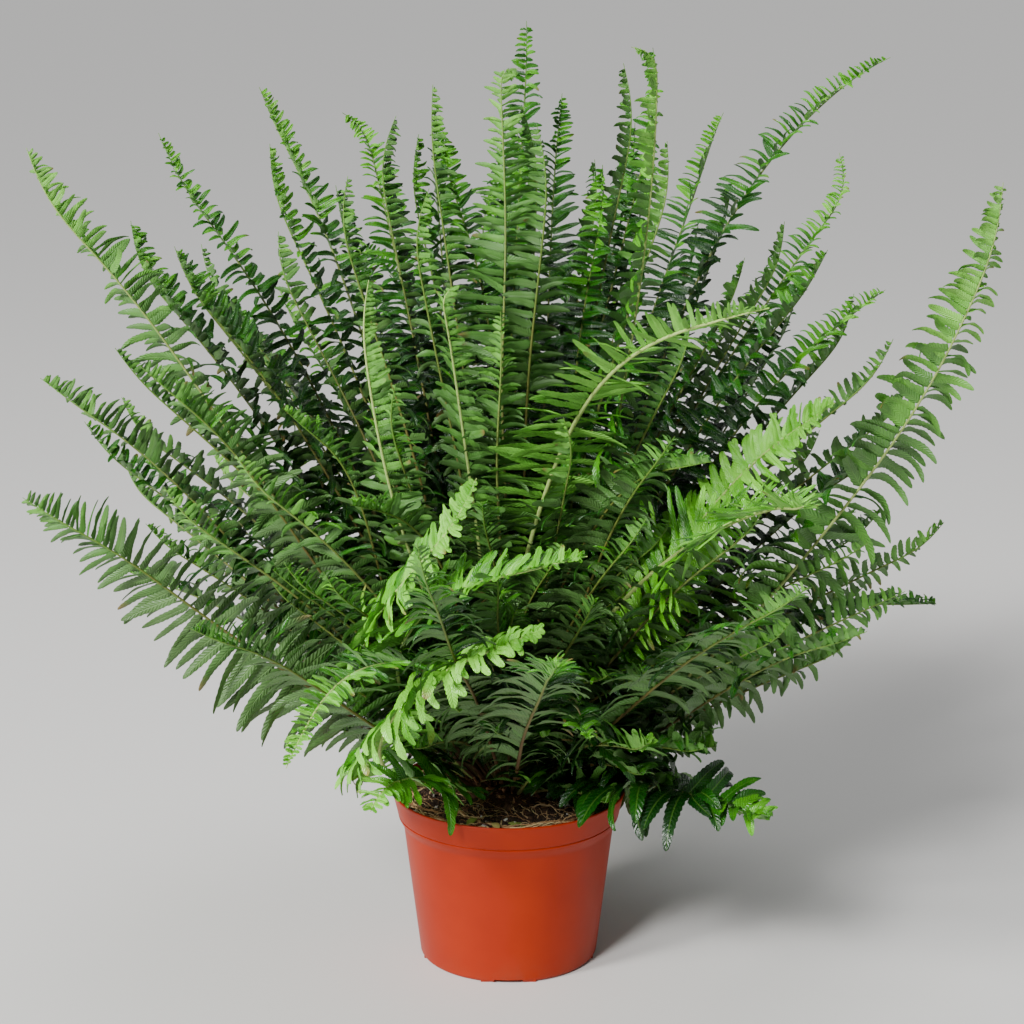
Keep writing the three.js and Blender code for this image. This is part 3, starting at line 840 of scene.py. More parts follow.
def frond(name, row, seed):
    """One frond's points, faces, slots, corner values, point values and bake map."""
    chance = np.random.default_rng(seed)
    young = STYLES["young"] if row.tone >= YOUNG_TONE else {}
    style = {**STYLES["all"], **STYLES.get(row.group, {}), **young, **STYLES.get(name, {})}
    for key, amount in STYLE_SPREAD.items():
        style[key] += amount * chance.normal()
    points, length = spine_of(row)
    points, along, side, face = frames_of(row, points, length, style, chance)
    keep = np.linspace(0, SPINE_STEPS - 1, STALK_RINGS).round().astype(int)
    u = keep / (SPINE_STEPS - 1)
    radius = stalk_radius(u) * (1 - 0.55 * smooth((u - 0.9) / 0.1))
    radius = radius * (1 + (style["stalk"] - 1) * smooth(u / 0.3))
    stalk_points, stalk_quads, stalk_caps = tube(points[keep], radius, STALK_SIDES)
    leaf_points, leaf_quads, leaf_caps, info = leaflets(
        row, points, along, side, face, length, style, chance
    )
    base = len(leaf_points)
    faces = [leaf_quads, stalk_quads + base, leaf_caps, stalk_caps + base]
    slots = np.concatenate([np.full(len(f), i % 2) for i, f in enumerate(faces)])
    pad = np.zeros(len(stalk_points))
    leaf = np.stack([np.append(info[key], pad) for key in ("along", "across")], 1)
    under = np.append(info["under"], np.zeros(len(slots) - len(leaf_quads)))
    under = np.repeat(under, np.concatenate([np.full(len(f), f.shape[1]) for f in faces]))
    corners = np.concatenate([f.ravel() for f in faces])
    stalk_look = {"tone": pad + row.tone, "chance": pad + 0.5, "rise": np.repeat(u, STALK_SIDES)}
    look = np.stack([np.append(info[key], stalk_look[key]) for key in stalk_look], 1)
    return {
        "points": np.concatenate([leaf_points, stalk_points]),
        "faces": faces,
        "slots": slots,
        "leaf": np.concatenate([leaf[corners], under[:, None]], 1),
        "look": look,
        "map": bake_map(info, len(stalk_quads), STALK_SIDES),
    }


def frond_piece(name, fronds, materials, slot, *nodes):
    """One object of one or more fronds, each with its own cell of the piece's bake map."""
    cells = math.ceil(math.sqrt(len(fronds)))
    faces, maps, at = [], [], 0
    for i, f in enumerate(fronds):
        faces += [part + at for part in f["faces"]]
        maps.append((f["map"] * CELL_FILL + (i % cells, i // cells)) / cells)
        at += len(f["points"])
    points, slots, leaf, look = (
        np.concatenate([f[key] for f in fronds]) for key in ("points", "slots", "leaf", "look")
    )
    me = mesh_of(name, points, faces, slots, sharp=48)
    set_values(me, "leaf", leaf, "FLOAT_VECTOR", "CORNER")
    set_values(me, "look", look, "FLOAT_VECTOR")
    layer = me.uv_layers.new(name="OFBake")
    layer.data.foreach_set("uv", np.concatenate(maps).astype(np.float32).ravel())
    piece(name, me, materials, slot, *nodes)


# Fronds past the number that the solids hold: they fill the plant between the ones above.
# Each ring has a name, a count, the azimuths it spans, the leans at the crown and at the tip
# from its innermost frond to its outermost, and the lengths from the longest to the shortest.
FILL_RINGS = [
    ("centre", 16, (0, 360), (2, 20), (6, 34), (440, 380)),
    ("rear", 20, (15, 165), (8, 44), (16, 62), (470, 370)),
    ("middle", 28, (0, 360), (24, 48), (42, 74), (390, 330)),
    ("low", 20, (0, 360), (50, 68), (76, 102), (320, 260)),
    ("under", 8, (15, 165), (66, 78), (96, 118), (230, 180)),
    ("heart", 22, (185, 355), (4, 34), (40, 96), (240, 120)),
    ("rim", 7, (296, 345), (46, 62), (84, 108), (175, 95)),
]
# Single fronds beside the rings, in the same terms as FRONDS.
LONE_FRONDS = [
    ("arched", 304, 205, 250, 14, 100, 4, -15, 24, 0.2),
    ("arched", 232, 150, 215, 18, 96, -6, 12, 22, 0.3),
    ("arched", 285, 185, 95, 30, 112, 5, 0, 22, 0.25),
]
GOLDEN_SHARE = 0.382
FRONDS_PER_PIECE = 7
# A filling frond's greatest lean at the crown and at the tip, and what is taken off it on the
# left, on the right and towards the front.
CROWN_LEAN_CAP = (72, 20, 12, 36)
TIP_LEAN_CAP = (104, 46, 34, 20)
FRONT_SHORTER = 0.38
UNCAPPED_RINGS = ("heart", "rim")
# A chord's lean as a mean of the leans at its ends, how far it starts above the soil, and how
# far a blade rolls to face the front.
CROWN_SHARE, TIP_SHARE = 0.42, 0.58
CHORD_RISE = 10
ROLL_TO_FRONT = 35


def between(ends, share):
    """The value a share of the way from one end to the other."""
    return ends[0] + (ends[1] - ends[0]) * share


def capped(lean, cap, sides):
    """A lean kept under its cap for how far left, right and front it points."""
    most, left, right, front = cap
    return min(lean, most - left * sides[0] - right * sides[1] - front * sides[2])


def fill_rows():
    """The filling fronds' rows, in the same terms as FRONDS."""
    rows = list(LONE_FRONDS)
    for ring, count, span, crown_lean, tip_lean, lengths in FILL_RINGS:
        chance = np.random.default_rng(count)
        for i in range(count):
            share = i / (count - 1)
            azimuth = between(span, (i * GOLDEN_SHARE + 0.07) % 1)
            lean_in = between(crown_lean, share)
            lean_out = between(tip_lean, share) + chance.normal(0, 4)
            long = between(lengths, share) * chance.uniform(0.93, 1.04)
            x, y = math.cos(math.radians(azimuth)), math.sin(math.radians(azimuth))
            sides = max(0.0, -x), max(0.0, x), max(0.0, -y)
            if ring not in UNCAPPED_RINGS:
                lean_in = capped(lean_in, CROWN_LEAN_CAP, sides)
                lean_out = capped(lean_out, TIP_LEAN_CAP, sides)
                long *= 1 - FRONT_SHORTER * sides[2] * min(1.0, lean_in / 30)
            mean = math.radians(CROWN_SHARE * lean_in + TIP_SHARE * lean_out)
            reach = long * math.sin(mean)
            height = long * math.cos(mean) + CHORD_RISE
            sweep = chance.normal(0, 8)
            roll = -ROLL_TO_FRONT * x + chance.normal(0, 14)
            half, tone = chance.uniform(22, 26), chance.uniform(0.1, 0.42)
            row = ring, azimuth, reach, height, lean_in, lean_out, sweep, roll, half, tone
            rows.append(row)
    return rows
# ---- Pot ----

COLLAR_HEIGHT = 16
COLLAR_FLARE = 3.8
SHOULDER_HEIGHT = 9
SHOULDER_STEP = 3.7
FOOT_RADIUS = 57
FOOT_ROUND = 3
POT_WALL = 1.6
FOOT_RING = 4
FLOOR_LIFT = 3
FLOOR_THICKNESS = 1.8
DRAIN_COUNT = 4
DRAIN_WIDTH = 18
DRAIN_REACH = 13
NOTCH_HEIGHT = 2.4
HOLE_RADIUS = 4
HOLE_CIRCLE = 34
BLOCK_WIDTH = 8.5
BLOCK_DEPTH = 6.0
BLOCK_HEIGHT = 3.2
BLOCK_INSET = 0.8
BLOCK_GAP = 0.15
BLOCK_LIFT = 0.02
BLOCK_BEVEL = 0.35
THROUGH = 30
DRAIN_SIDES = 40
CREASE_RADIUS = RIM_RADIUS - COLLAR_FLARE
WALL_TOP_RADIUS = CREASE_RADIUS - SHOULDER_STEP
CREASE_Z = POT_HEIGHT - COLLAR_HEIGHT
WALL_TOP_Z = CREASE_Z - SHOULDER_HEIGHT
FLOOR_TOP = FLOOR_LIFT + FLOOR_THICKNESS
POT_SEGMENTS = 256
AXIS_GAP = 0.6


def pot_radius(z):
    """The pot's outer radius at z."""
    if z >= CREASE_Z:
        return CREASE_RADIUS + COLLAR_FLARE * (z - CREASE_Z) / COLLAR_HEIGHT
    if z >= WALL_TOP_Z:
        return WALL_TOP_RADIUS + SHOULDER_STEP * float(smooth((z - WALL_TOP_Z) / SHOULDER_HEIGHT))
    return FOOT_RADIUS + (WALL_TOP_RADIUS - FOOT_RADIUS) * z / WALL_TOP_Z


def rounded(centre, radius, start, end, steps=5):
    """Points on an arc in the profile plane, angles in degrees."""
    return [
        (
            centre[0] + radius * math.cos(math.radians(start + (end - start) * i / steps)),
            centre[1] + radius * math.sin(math.radians(start + (end - start) * i / steps)),
        )
        for i in range(steps + 1)
    ]


def lathe(profile, segments):
    """A closed ring body: the profile, itself a closed loop, turned about Z."""
    profile = np.array(profile, float)
    angle = np.arange(segments) * 2 * math.pi / segments
    r, z = profile[:, 0], profile[:, 1]
    points = np.stack(
        [
            r[None] * np.cos(angle)[:, None],
            r[None] * np.sin(angle)[:, None],
            np.broadcast_to(z, (segments, len(z))),
        ],
        -1,
    ).reshape(-1, 3)
    n = len(profile)
    i = np.arange(segments)[:, None] * n
    ii = (np.arange(segments)[:, None] + 1) % segments * n
    j = np.arange(n)
    k = (j + 1) % n
    quads = np.stack([i + j, ii + j, ii + k, i + k], -1).reshape(-1, 4)
    return points, quads


def pot_profile():
    """The moulded shell from the hole in its floor, out under the foot, up, and back inside."""
    lip = POT_WALL / 2
    r_top = RIM_RADIUS - lip
    profile = [(AXIS_GAP, FLOOR_TOP), (AXIS_GAP, FLOOR_LIFT)]
    inner = FOOT_RADIUS - FOOT_ROUND - FOOT_RING
    profile += [(inner - 0.4, FLOOR_LIFT), (inner, FLOOR_LIFT - 0.4)]
    profile += [(inner, 0.5), (inner + 0.5, 0)]
    centre = (pot_radius(FOOT_ROUND) - FOOT_ROUND, FOOT_ROUND)
    profile += rounded(centre, FOOT_ROUND, -90, 0, 7)
    profile += [(pot_radius(z), z) for z in np.linspace(8, WALL_TOP_Z - 2, 12)]
    profile += [(pot_radius(z), z) for z in np.linspace(WALL_TOP_Z, CREASE_Z - 1.1, 9)]
    # The crease: a fine groove where the collar starts.
    groove = [(-0.25, -0.75), (-0.62, -0.45), (-0.55, -0.1), (-0.05, 0.25), (0.25, 0.8)]
    profile += [(CREASE_RADIUS + r, CREASE_Z + z) for r, z in groove]
    profile += [(pot_radius(z), z) for z in np.linspace(CREASE_Z + 2, POT_HEIGHT - 2.4, 6)]
    profile += [(RIM_RADIUS - 0.02, POT_HEIGHT - 1.2)]
    profile += rounded((r_top, POT_HEIGHT - lip), lip, 0, 180, 10)
    low_inside = [CREASE_Z, (CREASE_Z + WALL_TOP_Z) / 2, WALL_TOP_Z, 60, 30, FLOOR_TOP + 2]
    profile += [(pot_radius(z) - POT_WALL, z) for z in low_inside]
    profile += [(pot_radius(FLOOR_TOP) - POT_WALL - 1.5, FLOOR_TOP)]
    return profile


def moved_to(bm, centre, turned_by):
    """bm moved from the origin to centre and then turned about Z."""
    bmesh.ops.translate(bm, verts=bm.verts, vec=centre)
    bmesh.ops.rotate(bm, verts=bm.verts, matrix=Matrix.Rotation(turned_by, 3, "Z"))
    return bm


def box_at(width, depth, height, centre, turned_by, bevel=0.0):
    """A box cutter or block as a bmesh, turned about Z."""
    bm = bmesh.new()
    bmesh.ops.create_cube(bm, size=1)
    bmesh.ops.scale(bm, verts=bm.verts, vec=(width, depth, height))
    if bevel:
        bmesh.ops.bevel(
            bm, geom=bm.edges[:], offset=bevel, segments=3, affect="EDGES", profile=0.5
        )
    return moved_to(bm, centre, turned_by)


def held(name, bms):
    """A temporary object holding several bmeshes, in millimetres."""
    me = bpy.data.meshes.new(name)
    joined = bmesh.new()
    for bm in bms:
        part = bpy.data.meshes.new("part")
        bm.to_mesh(part)
        joined.from_mesh(part)
        bm.free()
        bpy.data.meshes.remove(part)
    joined.to_mesh(me)
    joined.free()
    return add(name, me)


def boolean(target, tool, operation):
    """Applies a boolean of tool to target and removes tool."""
    modifier = target.modifiers.new("cut", "BOOLEAN")
    modifier.operation = operation
    modifier.solver = "EXACT"
    modifier.object = tool
    graph = bpy.context.evaluated_depsgraph_get()
    made = bpy.data.meshes.new_from_object(target.evaluated_get(graph))
    target.modifiers.clear()
    old = target.data
    target.data = made
    bpy.data.meshes.remove(old)
    bpy.data.objects.remove(tool)


def build_pot():
    """The pot's lathed shell with blocks on its foot, then its slots, notches and holes cut."""
    points, quads = lathe(pot_profile(), POT_SEGMENTS)
    me = mesh_of("pot_body", points, [quads])
    # The booleans are done in millimetres.
    me.transform(Matrix.Scale(1 / MM, 4))
    ob = add("pot_body", me)
    slot_reach = DRAIN_REACH - FOOT_RING - POT_WALL
    slot_at = (FOOT_RADIUS - (DRAIN_REACH + FOOT_RING + POT_WALL) / 2, 0, 0)
    slot_height = 2 * (FLOOR_TOP + POT_WALL)
    # A notch runs a millimetre past the foot on its outer side.
    notch_size = (DRAIN_REACH + 2, DRAIN_WIDTH + 0.1, 2 * NOTCH_HEIGHT)
    notch_at = (FOOT_RADIUS + POT_WALL - DRAIN_REACH / 2 + 1, 0, 0)
    blocks, slots, notches, holes = [], [], [], []
    for i in range(DRAIN_COUNT):
        angle = -math.pi / 2 + 2 * math.pi * i / DRAIN_COUNT
        for hand in (-1, 1):
            offset = hand * ((DRAIN_WIDTH + BLOCK_WIDTH) / 2 + BLOCK_GAP)
            out = math.sqrt(FOOT_RADIUS**2 - offset**2) - BLOCK_INSET - BLOCK_DEPTH / 2
            size = (BLOCK_DEPTH, BLOCK_WIDTH, BLOCK_HEIGHT)
            centre = (out, offset, BLOCK_LIFT + BLOCK_HEIGHT / 2)
            blocks.append(box_at(*size, centre, angle, BLOCK_BEVEL))
        slots.append(box_at(slot_reach, DRAIN_WIDTH, slot_height, slot_at, angle))
        notches.append(box_at(*notch_size, notch_at, angle))
        hole = bmesh.new()
        radii = {"radius1": HOLE_RADIUS, "radius2": HOLE_RADIUS}
        bmesh.ops.create_cone(hole, cap_ends=True, segments=DRAIN_SIDES, depth=THROUGH, **radii)
        holes.append(moved_to(hole, (HOLE_CIRCLE, 0, 0), angle + math.pi / DRAIN_COUNT))
    boolean(ob, held("blocks", blocks), "UNION")
    for name, cutters in (("slots", slots), ("notches", notches), ("holes", holes)):
        boolean(ob, held(name, cutters), "DIFFERENCE")
    me = ob.data
    me.transform(Matrix.Scale(MM, 4))
    me.polygons.foreach_set("use_smooth", np.full(len(me.polygons), True))
    me.set_sharp_from_angle(angle=math.radians(32))
    me.materials.clear()
    me.materials.append(pot_surface())
    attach(ob, ROOT)
    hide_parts("pot")


# ---- Soil, crown, roots ----

DOME_HEIGHT = 2.5
WALL_GAP = 0.8
SOIL_EDGE_Z = SOIL_TOP - DOME_HEIGHT
SOIL_RADIUS = pot_radius(SOIL_EDGE_Z) - POT_WALL - WALL_GAP
SOIL_RINGS, SOIL_AROUND = 150, 420
WAVES_PER_OCTAVE = 7


def lumps(x, y, seed, scale, octaves=4):
    """A smooth random height field built from sine waves, between about -1 and 1."""
    chance = np.random.default_rng(seed)
    total = np.zeros_like(x)
    weight = 0.0
    for i in range(octaves):
        for _ in range(WAVES_PER_OCTAVE):
            a = chance.uniform(0, 2 * math.pi)
            f = scale * 1.9**i * chance.uniform(0.7, 1.3)
            across = x * math.cos(a) + y * math.sin(a)
            total += np.sin(across * f + chance.uniform(0, 6.3)) * 0.6**i
            weight += 0.6 ** (2 * i)
    return total / math.sqrt(weight) * 0.7


def soil_z(x, y):
    """The soil's surface: a low dome with lumps, sinking a little at the wall."""
    r = np.hypot(x, y)
    middle = (SOIL_RADIUS + CROWN_RADIUS) / 2
    heights = [DOME_HEIGHT, DOME_HEIGHT, 1.5, 0.0]
    dome = np.interp(r, [0, CROWN_RADIUS, middle, SOIL_RADIUS], heights)
    edge = smooth((r - SOIL_RADIUS + 6) / 6)
    bumps = 1.25 * lumps(x, y, 5, 0.28) + 0.45 * lumps(x, y, 6, 1.3)
    bumps = bumps * (1 - 0.5 * edge) * smooth((r - CROWN_RADIUS + 12) / 12)
    return SOIL_EDGE_Z + dome + bumps - 0.8 * edge


def build_soil():
    """The soil's lumpy top on a smooth body that follows the pot's inside."""
    r = SOIL_RADIUS * np.linspace(0.02, 1, SOIL_RINGS) ** 0.85
    angle = np.arange(SOIL_AROUND) * 2 * math.pi / SOIL_AROUND
    x = r[:, None] * np.cos(angle)
    y = r[:, None] * np.sin(angle)
    z = soil_z(x, y)
    xs, ys, zs = [x], [y], [z]
    for level in (CREASE_Z, WALL_TOP_Z, 40, FLOOR_TOP + 0.4):
        r_at = pot_radius(level) - POT_WALL - WALL_GAP
        xs.append((r_at * np.cos(angle))[None])
        ys.append((r_at * np.sin(angle))[None])
        zs.append(np.full((1, SOIL_AROUND), level))
    points = np.stack([np.concatenate(v) for v in (xs, ys, zs)], -1)
    # The rings run outwards and down, so their faces are turned the other way.
    quads = ring_quads(len(points), SOIL_AROUND)[:, [0, 3, 2, 1]]
    caps = end_caps(len(points), SOIL_AROUND)[:, ::-1]
    me = mesh_of("soil_top", points.reshape(-1, 3), [quads, caps], sharp=60)
    surface = soil_surface("potting_soil", (0.008, 0.005, 0.004), (0.060, 0.034, 0.020))
    piece("soil_top", me, [surface], "soil", "soil")


def grains(name, count, size, flat, tints, seed, material, subdivide=1):
    """Many small lumps lying on the soil, as one piece with a tint for each."""
    chance = np.random.default_rng(seed)
    bm = bmesh.new()
    bmesh.ops.create_icosphere(bm, subdivisions=subdivide, radius=1)
    ball = np.array([v.co[:] for v in bm.verts])
    faces = np.array([[v.index for v in f.verts] for f in bm.faces])
    bm.free()
    n = len(ball)
    r = np.sqrt(chance.uniform((CROWN_RADIUS * 0.6) ** 2, (SOIL_RADIUS - 1.2) ** 2, count))
    a = chance.uniform(0, 2 * math.pi, count)
    big = np.exp(chance.normal(0, 0.35, count)) * size
    shape = ball[None] * (1 + chance.normal(0, 0.2, (count, n, 1)))
    shape = shape * chance.uniform(0.6, 1.4, (count, 1, 3)) * [1, 1, flat]
    axis = unit(chance.normal(0, 1, (count, 3)) * [1, 1, 0.3] + [0, 0, 0.5])
    spin = chance.uniform(-math.pi, math.pi, count) * (1.0 if flat > 0.6 else 0.35)
    shape = turn(shape, axis[:, None], spin[:, None])
    yaw = chance.uniform(0, 6.3, count)
    shape = turn(shape, UP[None, None], yaw[:, None]) * big[:, None, None]
    x, y = r * np.cos(a), r * np.sin(a)
    z = soil_z(x, y) + big * flat * 0.35
    points = (shape + np.stack([x, y, z], 1)[:, None]).reshape(-1, 3)
    all_faces = (faces[None] + (np.arange(count) * n)[:, None, None]).reshape(-1, 3)
    me = mesh_of(name, points, [all_faces], sharp=55)
    set_values(me, "tint", np.repeat(chance.uniform(*tints, count), n))
    piece(name, me, [material], "soil")


FIBRE_SIDES = 5


def root_fibres(name, count, seed, radius, length, lift, rim_share, tints, material):
    """Wiry roots and fibres that lie on the soil, most of them following the rim."""
    chance = np.random.default_rng(seed)
    parts, part_tints = [], []
    for _ in range(count):
        long = chance.uniform(*length)
        steps = max(8, int(long / 1.6))
        t = np.linspace(0, 1, steps)
        start_r = chance.uniform(CROWN_RADIUS, SOIL_RADIUS - 1.5)
        start_a = chance.uniform(0, 2 * math.pi)
        if chance.uniform() < rim_share:
            start_r = SOIL_RADIUS - chance.uniform(1.0, 9.0)
            a = start_a + chance.choice([-1, 1]) * long * t / start_r
            wander = chance.normal(0, 1.5)
            r = start_r + wander * np.sin(t * chance.uniform(2, 7) + chance.uniform(0, 6))
        else:
            heading = chance.uniform(0, 2 * math.pi)
            bend = chance.normal(0, 1.8) * t + 0.5 * np.sin(t * chance.uniform(4, 9))
            x = start_r * math.cos(start_a) + np.cumsum(np.cos(heading + bend)) * long / steps
            y = start_r * math.sin(start_a) + np.cumsum(np.sin(heading + bend)) * long / steps
            r, a = np.hypot(x, y), np.arctan2(y, x)
        r = np.clip(r, 4, SOIL_RADIUS - 0.8)
        x, y = r * np.cos(a), r * np.sin(a)
        thick = radius * math.exp(chance.normal(0, 0.3))
        arch = lift * chance.uniform(0, 1) ** 3 * np.sin(math.pi * t)
        z = soil_z(x, y) + thick * 0.8 + arch + 0.25 * np.sin(t * 17 + chance.uniform(0, 6))
        radii = thick * (1 - 0.5 * t) * (1 + 0.12 * np.sin(t * long * 1.7))
        parts.append(tube(np.stack([x, y, z], 1), radii, FIBRE_SIDES))
        part_tints.append(chance.uniform(*tints))
    tinted_piece(name, parts, part_tints, 70, material, "root_fibre")


FIBRE_STOPS = [
    (0.0, (0.045, 0.018, 0.010)),
    (0.35, (0.16, 0.062, 0.030)),
    (0.65, (0.38, 0.20, 0.085)),
    (1.0, (0.72, 0.54, 0.28)),
]
FALLEN_LEAFLETS = 6
STRAW_STOPS = [(0.0, (0.16, 0.24, 0.03)), (0.5, (0.38, 0.38, 0.12)), (1.0, (0.30, 0.15, 0.05))]


def dry_leaflets():
    """Fallen leaflets, pale and curled, on the soil towards the front."""
    chance = np.random.default_rng(25)
    parts = []
    for _ in range(FALLEN_LEAFLETS):
        azimuth, r = chance.uniform(215, 300), chance.uniform(0.7, 0.92) * SOIL_RADIUS
        t = np.linspace(0, 1, 14)
        heading = direction(chance.uniform(0, 360), chance.uniform(60, 85))
        path = direction(azimuth, 90) * r + heading * (t * chance.uniform(9, 15))[:, None]
        path[:, 2] += soil_z(path[0, 0], path[0, 1]) + 1.2 - 5 * t**2
        path[:, 2] = np.maximum(path[:, 2], soil_z(path[:, 0], path[:, 1]) + 0.6)
        width = 2.6 * np.sin(math.pi * (0.08 + 0.88 * t)) ** 0.7
        parts.append(tube(path, width, 12, 0.16))
    tints = chance.uniform(0.1, 0.9, FALLEN_LEAFLETS)
    straw = tinted_surface("straw", STRAW_STOPS)
    tinted_piece("dry_leaflets", parts, tints, 60, straw, "leaf")


CRUMB_STOPS = [
    (0.0, (0.010, 0.006, 0.004)),
    (0.6, (0.045, 0.024, 0.013)),
    (1.0, (0.16, 0.08, 0.04)),
]
PERLITE_STOPS = [(0.0, (0.42, 0.38, 0.32)), (1.0, (0.80, 0.78, 0.72))]


def build_litter():
    """What lies on the soil: crumbs, bark, perlite, roots and fallen leaflets."""
    crumb = tinted_surface("crumbs", CRUMB_STOPS, (0.8, 0.98))
    grains("soil_crumbs", 2600, 0.75, 0.8, (0.0, 0.75), 11, crumb)
    grains("bark_bits", 240, 1.9, 0.35, (0.4, 1.0), 12, crumb)
    perlite = tinted_surface("perlite", PERLITE_STOPS, (0.8, 0.95), 1400.0)
    grains("perlite_grains", 90, 0.95, 0.8, (0.0, 1.0), 13, perlite, 2)
    fibre = tinted_surface("fibres", FIBRE_STOPS, (0.55, 0.8), 900.0)
    root_fibres("root_fibres", 330, 21, 0.30, (10, 60), 3.5, 0.6, (0.15, 0.85), fibre)
    root_fibres("dry_roots", 110, 24, 0.42, (25, 75), 3.0, 0.6, (0.75, 1.0), fibre)
    root_fibres("root_hairs", 420, 22, 0.14, (6, 26), 2.0, 0.25, (0.3, 1.0), fibre)
    dry_leaflets()


RUNNER_RADIUS = 0.9
RUNNER_TO_WALL = 5
RUNNER_STEPS = 110
RUNNER_ROOTS = 26
RUNNER_TINT = 0.62
# Where a runner starts, how far round the pot it goes and how far it strays from the wall.
RUNNERS = [(190, 95, 14), (295, 85, 9), (25, 130, 16)]


def build_runners():
    """Thin stems that creep round the soil, with fine roots along them."""
    surface = tinted_surface("runner_bark", FIBRE_STOPS, (0.5, 0.75), 800.0)
    for number, (start, sweep, wander) in enumerate(RUNNERS, 1):
        chance = np.random.default_rng(30 + number)
        t = np.linspace(0, 1, RUNNER_STEPS)
        a = np.radians(start + sweep * t)
        r = SOIL_RADIUS - RUNNER_TO_WALL - wander * np.sin(math.pi * t) ** 2
        r = r + 0.7 * np.sin(t * 23 + number)
        x, y = r * np.cos(a), r * np.sin(a)
        z = soil_z(x, y) + RUNNER_RADIUS * 0.9 + 0.35 * np.sin(t * 31)
        rough = 0.05 * chance.normal(0, 1, RUNNER_STEPS)
        radii = RUNNER_RADIUS * (0.85 + 0.12 * np.sin(t * 55) + rough)
        radii = radii * (1 - 0.6 * smooth((t - 0.92) / 0.08))
        parts = [tube(np.stack([x, y, z], 1), radii, 10)]
        for _ in range(RUNNER_ROOTS):
            i = int(chance.integers(4, RUNNER_STEPS - 6))
            root = np.array([x[i], y[i], z[i]])
            heading = np.array([math.cos(a[i]), math.sin(a[i]), 0.0]) * chance.choice([-1, 1])
            heading = turn(heading, UP, chance.normal(0, 0.7))
            s = np.linspace(0, 1, 8)[:, None]
            path = root + heading * s * chance.uniform(3, 9)
            ground = soil_z(path[:, 0], path[:, 1]) + 0.1
            path[:, 2] = np.maximum(path[:, 2] - s[:, 0] * 1.5, ground)
            parts.append(tube(path, 0.22 * (1 - 0.7 * s[:, 0]), 5))
        tints = [RUNNER_TINT] * len(parts)
        name = f"runner_stem_{number}"
        tinted_piece(name, parts, tints, 70, surface, "root_fibre", f"runner_{number}")


CROWN_RINGS, CROWN_AROUND = 40, 120
BUMP_BASE = 1.4
STUB_COUNT = 75
SCALE_COUNT = 900


def build_crown():
    """The rhizome: a lumpy dome covered with papery scales and the stubs of old stalks."""
    chance = np.random.default_rng(40)
    lift = np.radians(np.linspace(0, 90, CROWN_RINGS))
    angle = np.arange(CROWN_AROUND) * 2 * math.pi / CROWN_AROUND
    r = CROWN_RADIUS * np.cos(lift)[:, None] + 0 * angle
    x, y = r * np.cos(angle), r * np.sin(angle)
    bumps = lumps(x, y, 41, 0.35) * 1.3 + lumps(x, y, 42, 1.1) * 0.7
    scale = 1 + (bumps - BUMP_BASE) / 33
    z = CROWN_Z + (CROWN_HEIGHT * np.sin(lift))[:, None] * (1 + (bumps - BUMP_BASE) / 16)
    x, y = x * scale, y * scale
    points = np.stack([x, y, z], -1).reshape(-1, 3)
    faces = [ring_quads(CROWN_RINGS, CROWN_AROUND), end_caps(CROWN_RINGS, CROWN_AROUND)]
    me = mesh_of("crown_body", points, faces, sharp=60)
    brown = soil_surface("rhizome_bark", (0.020, 0.011, 0.006), (0.13, 0.068, 0.030), 500.0)
    piece("crown_body", me, [brown], "rhizome", "crown")

    # Old stalk stubs and the scaly bases that young stalks stand in.
    parts, tints = [], []
    for _ in range(STUB_COUNT):
        lean = chance.uniform(8, 78)
        azimuth = chance.uniform(0, 360)
        root = socket(azimuth, lean * 0.9) - direction(azimuth, lean) * 1.5
        way = direction(azimuth + chance.normal(0, 12), lean + chance.normal(0, 8))
        long = chance.uniform(3, 13)
        s = np.linspace(0, 1, 9)[:, None]
        bend = np.cross(way, unit(chance.normal(0, 1, 3))) * 1.5
        path = root + way * s * long + bend * s**2
        radii = chance.uniform(0.8, 1.5) * (1 - 0.35 * s[:, 0])
        radii = radii * (1 + 0.08 * np.sin(s[:, 0] * 40))
        parts.append(tube(path, radii, 9))
        tints.append(chance.uniform(0.0, 0.7))
    # Scales: small flat blades that stand off the crown.
    for _ in range(SCALE_COUNT):
        lean = chance.uniform(0, 88)
        azimuth = chance.uniform(0, 360)
        r = CROWN_RADIUS * math.sin(math.radians(lean)) * 0.97
        root = direction(azimuth, 90) * r
        root[2] = CROWN_Z + dome_height(r) * 0.93
        way = direction(azimuth + chance.normal(0, 40), min(95, lean + chance.normal(0, 30)))
        s = np.linspace(0, 1, 5)[:, None]
        path = root + way * s * chance.uniform(2, 5.5) + chance.normal(0, 0.5, 3) * s**2
        width = chance.uniform(0.35, 0.9) * np.array([0.7, 1.0, 0.8, 0.5, 0.15])
        parts.append(tube(path, width, 4, 0.18))
        tints.append(chance.uniform(0.1, 0.8))
    papery = tinted_surface("crown_scales", FIBRE_STOPS, (0.55, 0.85), 800.0)
    tinted_piece("crown_scales", parts, tints, 50, papery, "rhizome")

# ---- Build ----

FIRST_SEED = 100

build_pot()
build_soil()
build_litter()
build_runners()
build_crown()

leaf_materials = [leaf_surface(), stalk_surface()]
numbers = {}
for seed, row in enumerate(map(Row._make, FRONDS), FIRST_SEED):
    numbers[row.group] = numbers.get(row.group, 0) + 1
    name = f"{row.group}_frond_{numbers[row.group]:02d}"
    slot = "young_leaf" if row.tone >= YOUNG_TONE else "leaf"
    frond_piece(name + "_leaves", [frond(name, row, seed)], leaf_materials, slot, name)

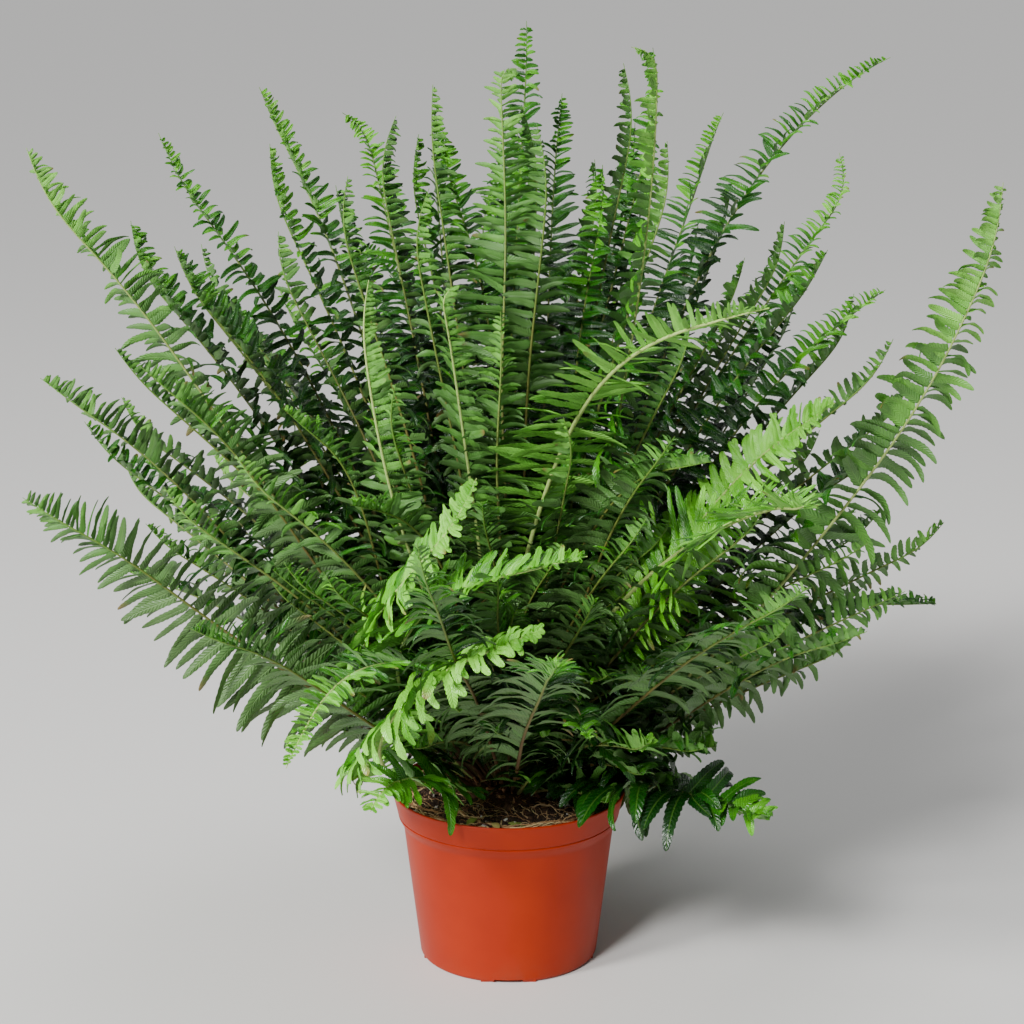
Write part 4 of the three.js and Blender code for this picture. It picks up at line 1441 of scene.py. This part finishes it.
# The filling fronds go several to a piece.
fillers = {}
for seed, row in enumerate(map(Row._make, fill_rows()), FIRST_SEED + len(FRONDS)):
    fillers.setdefault(row.group, []).append(frond(row.group, row, seed))
for ring, fronds in fillers.items():
    share = math.ceil(len(fronds) / math.ceil(len(fronds) / FRONDS_PER_PIECE))
    for i in range(0, len(fronds), share):
        name = f"{ring}_fronds_{i // share + 1:02d}"
        frond_piece(name, fronds[i : i + share], leaf_materials, "leaf")

# ---- Stage ----

FAR = 30
FLOOR_GREY = (0.72, 0.71, 0.69, 1.0)
SKY_BLUE = (0.80, 0.82, 0.86, 1.0)
WARM, COOL = (1.0, 0.985, 0.95), (0.95, 0.98, 1.0)
SUN_WAY = (1.0, 1.7, -1.5)

floor_mesh = bpy.data.meshes.new("floor")
corners = [(-FAR, -FAR, 0), (FAR, -FAR, 0), (FAR, FAR, 0), (-FAR, FAR, 0)]
floor_mesh.from_pydata(corners, [], [(0, 1, 2, 3)])
floor = add("floor", floor_mesh)
floor_look = Surface("floor", Roughness=0.6, Base_Color=FLOOR_GREY)
floor_mesh.materials.append(floor_look.material)

world = bpy.data.worlds.new("studio")
bpy.context.scene.world = world
world.use_nodes = True
sky = world.node_tree.nodes["Background"].inputs
sky["Color"].default_value = SKY_BLUE
sky["Strength"].default_value = 0.22


def pointed(ob, way):
    """Turns a lamp so that it shines along way."""
    ob.rotation_mode = "QUATERNION"
    ob.rotation_quaternion = Vector(way).to_track_quat("-Z", "Y")


def lamp(name, place, target, size, watts, colour=(1.0, 1.0, 1.0)):
    """A round soft light at place that shines on target."""
    data = bpy.data.lights.new(name, "AREA")
    data.shape = "DISK"
    data.size = size
    data.energy = watts
    data.color = colour
    ob = add(name, data)
    ob.location = place
    pointed(ob, Vector(target) - Vector(place))


lamp("key", (-1.6, -1.2, 1.4), (0.0, 0.0, 0.3), 0.5, 54, WARM)
lamp("fill", (1.9, -1.5, 0.9), (0.0, 0.0, 0.25), 1.6, 1.5, COOL)
lamp("top", (0.3, 0.5, 2.1), (0.0, 0.0, 0.3), 1.2, 16)

sun_data = bpy.data.lights.new("sun", "SUN")
sun_data.energy = 3.5
sun_data.angle = math.radians(14)
pointed(add("sun", sun_data), SUN_WAY)

# The photograph's view: from straight in front and 15 degrees above.
camera_data = bpy.data.cameras.new("camera")
camera_data.lens = 100
camera_data.sensor_width = 36
camera_data.clip_end = 50
camera = add("camera", camera_data)
camera.location = (0.00225, -1.72314, 0.75633)
camera.rotation_euler = (math.radians(75), 0, 0)
bpy.context.scene.camera = camera
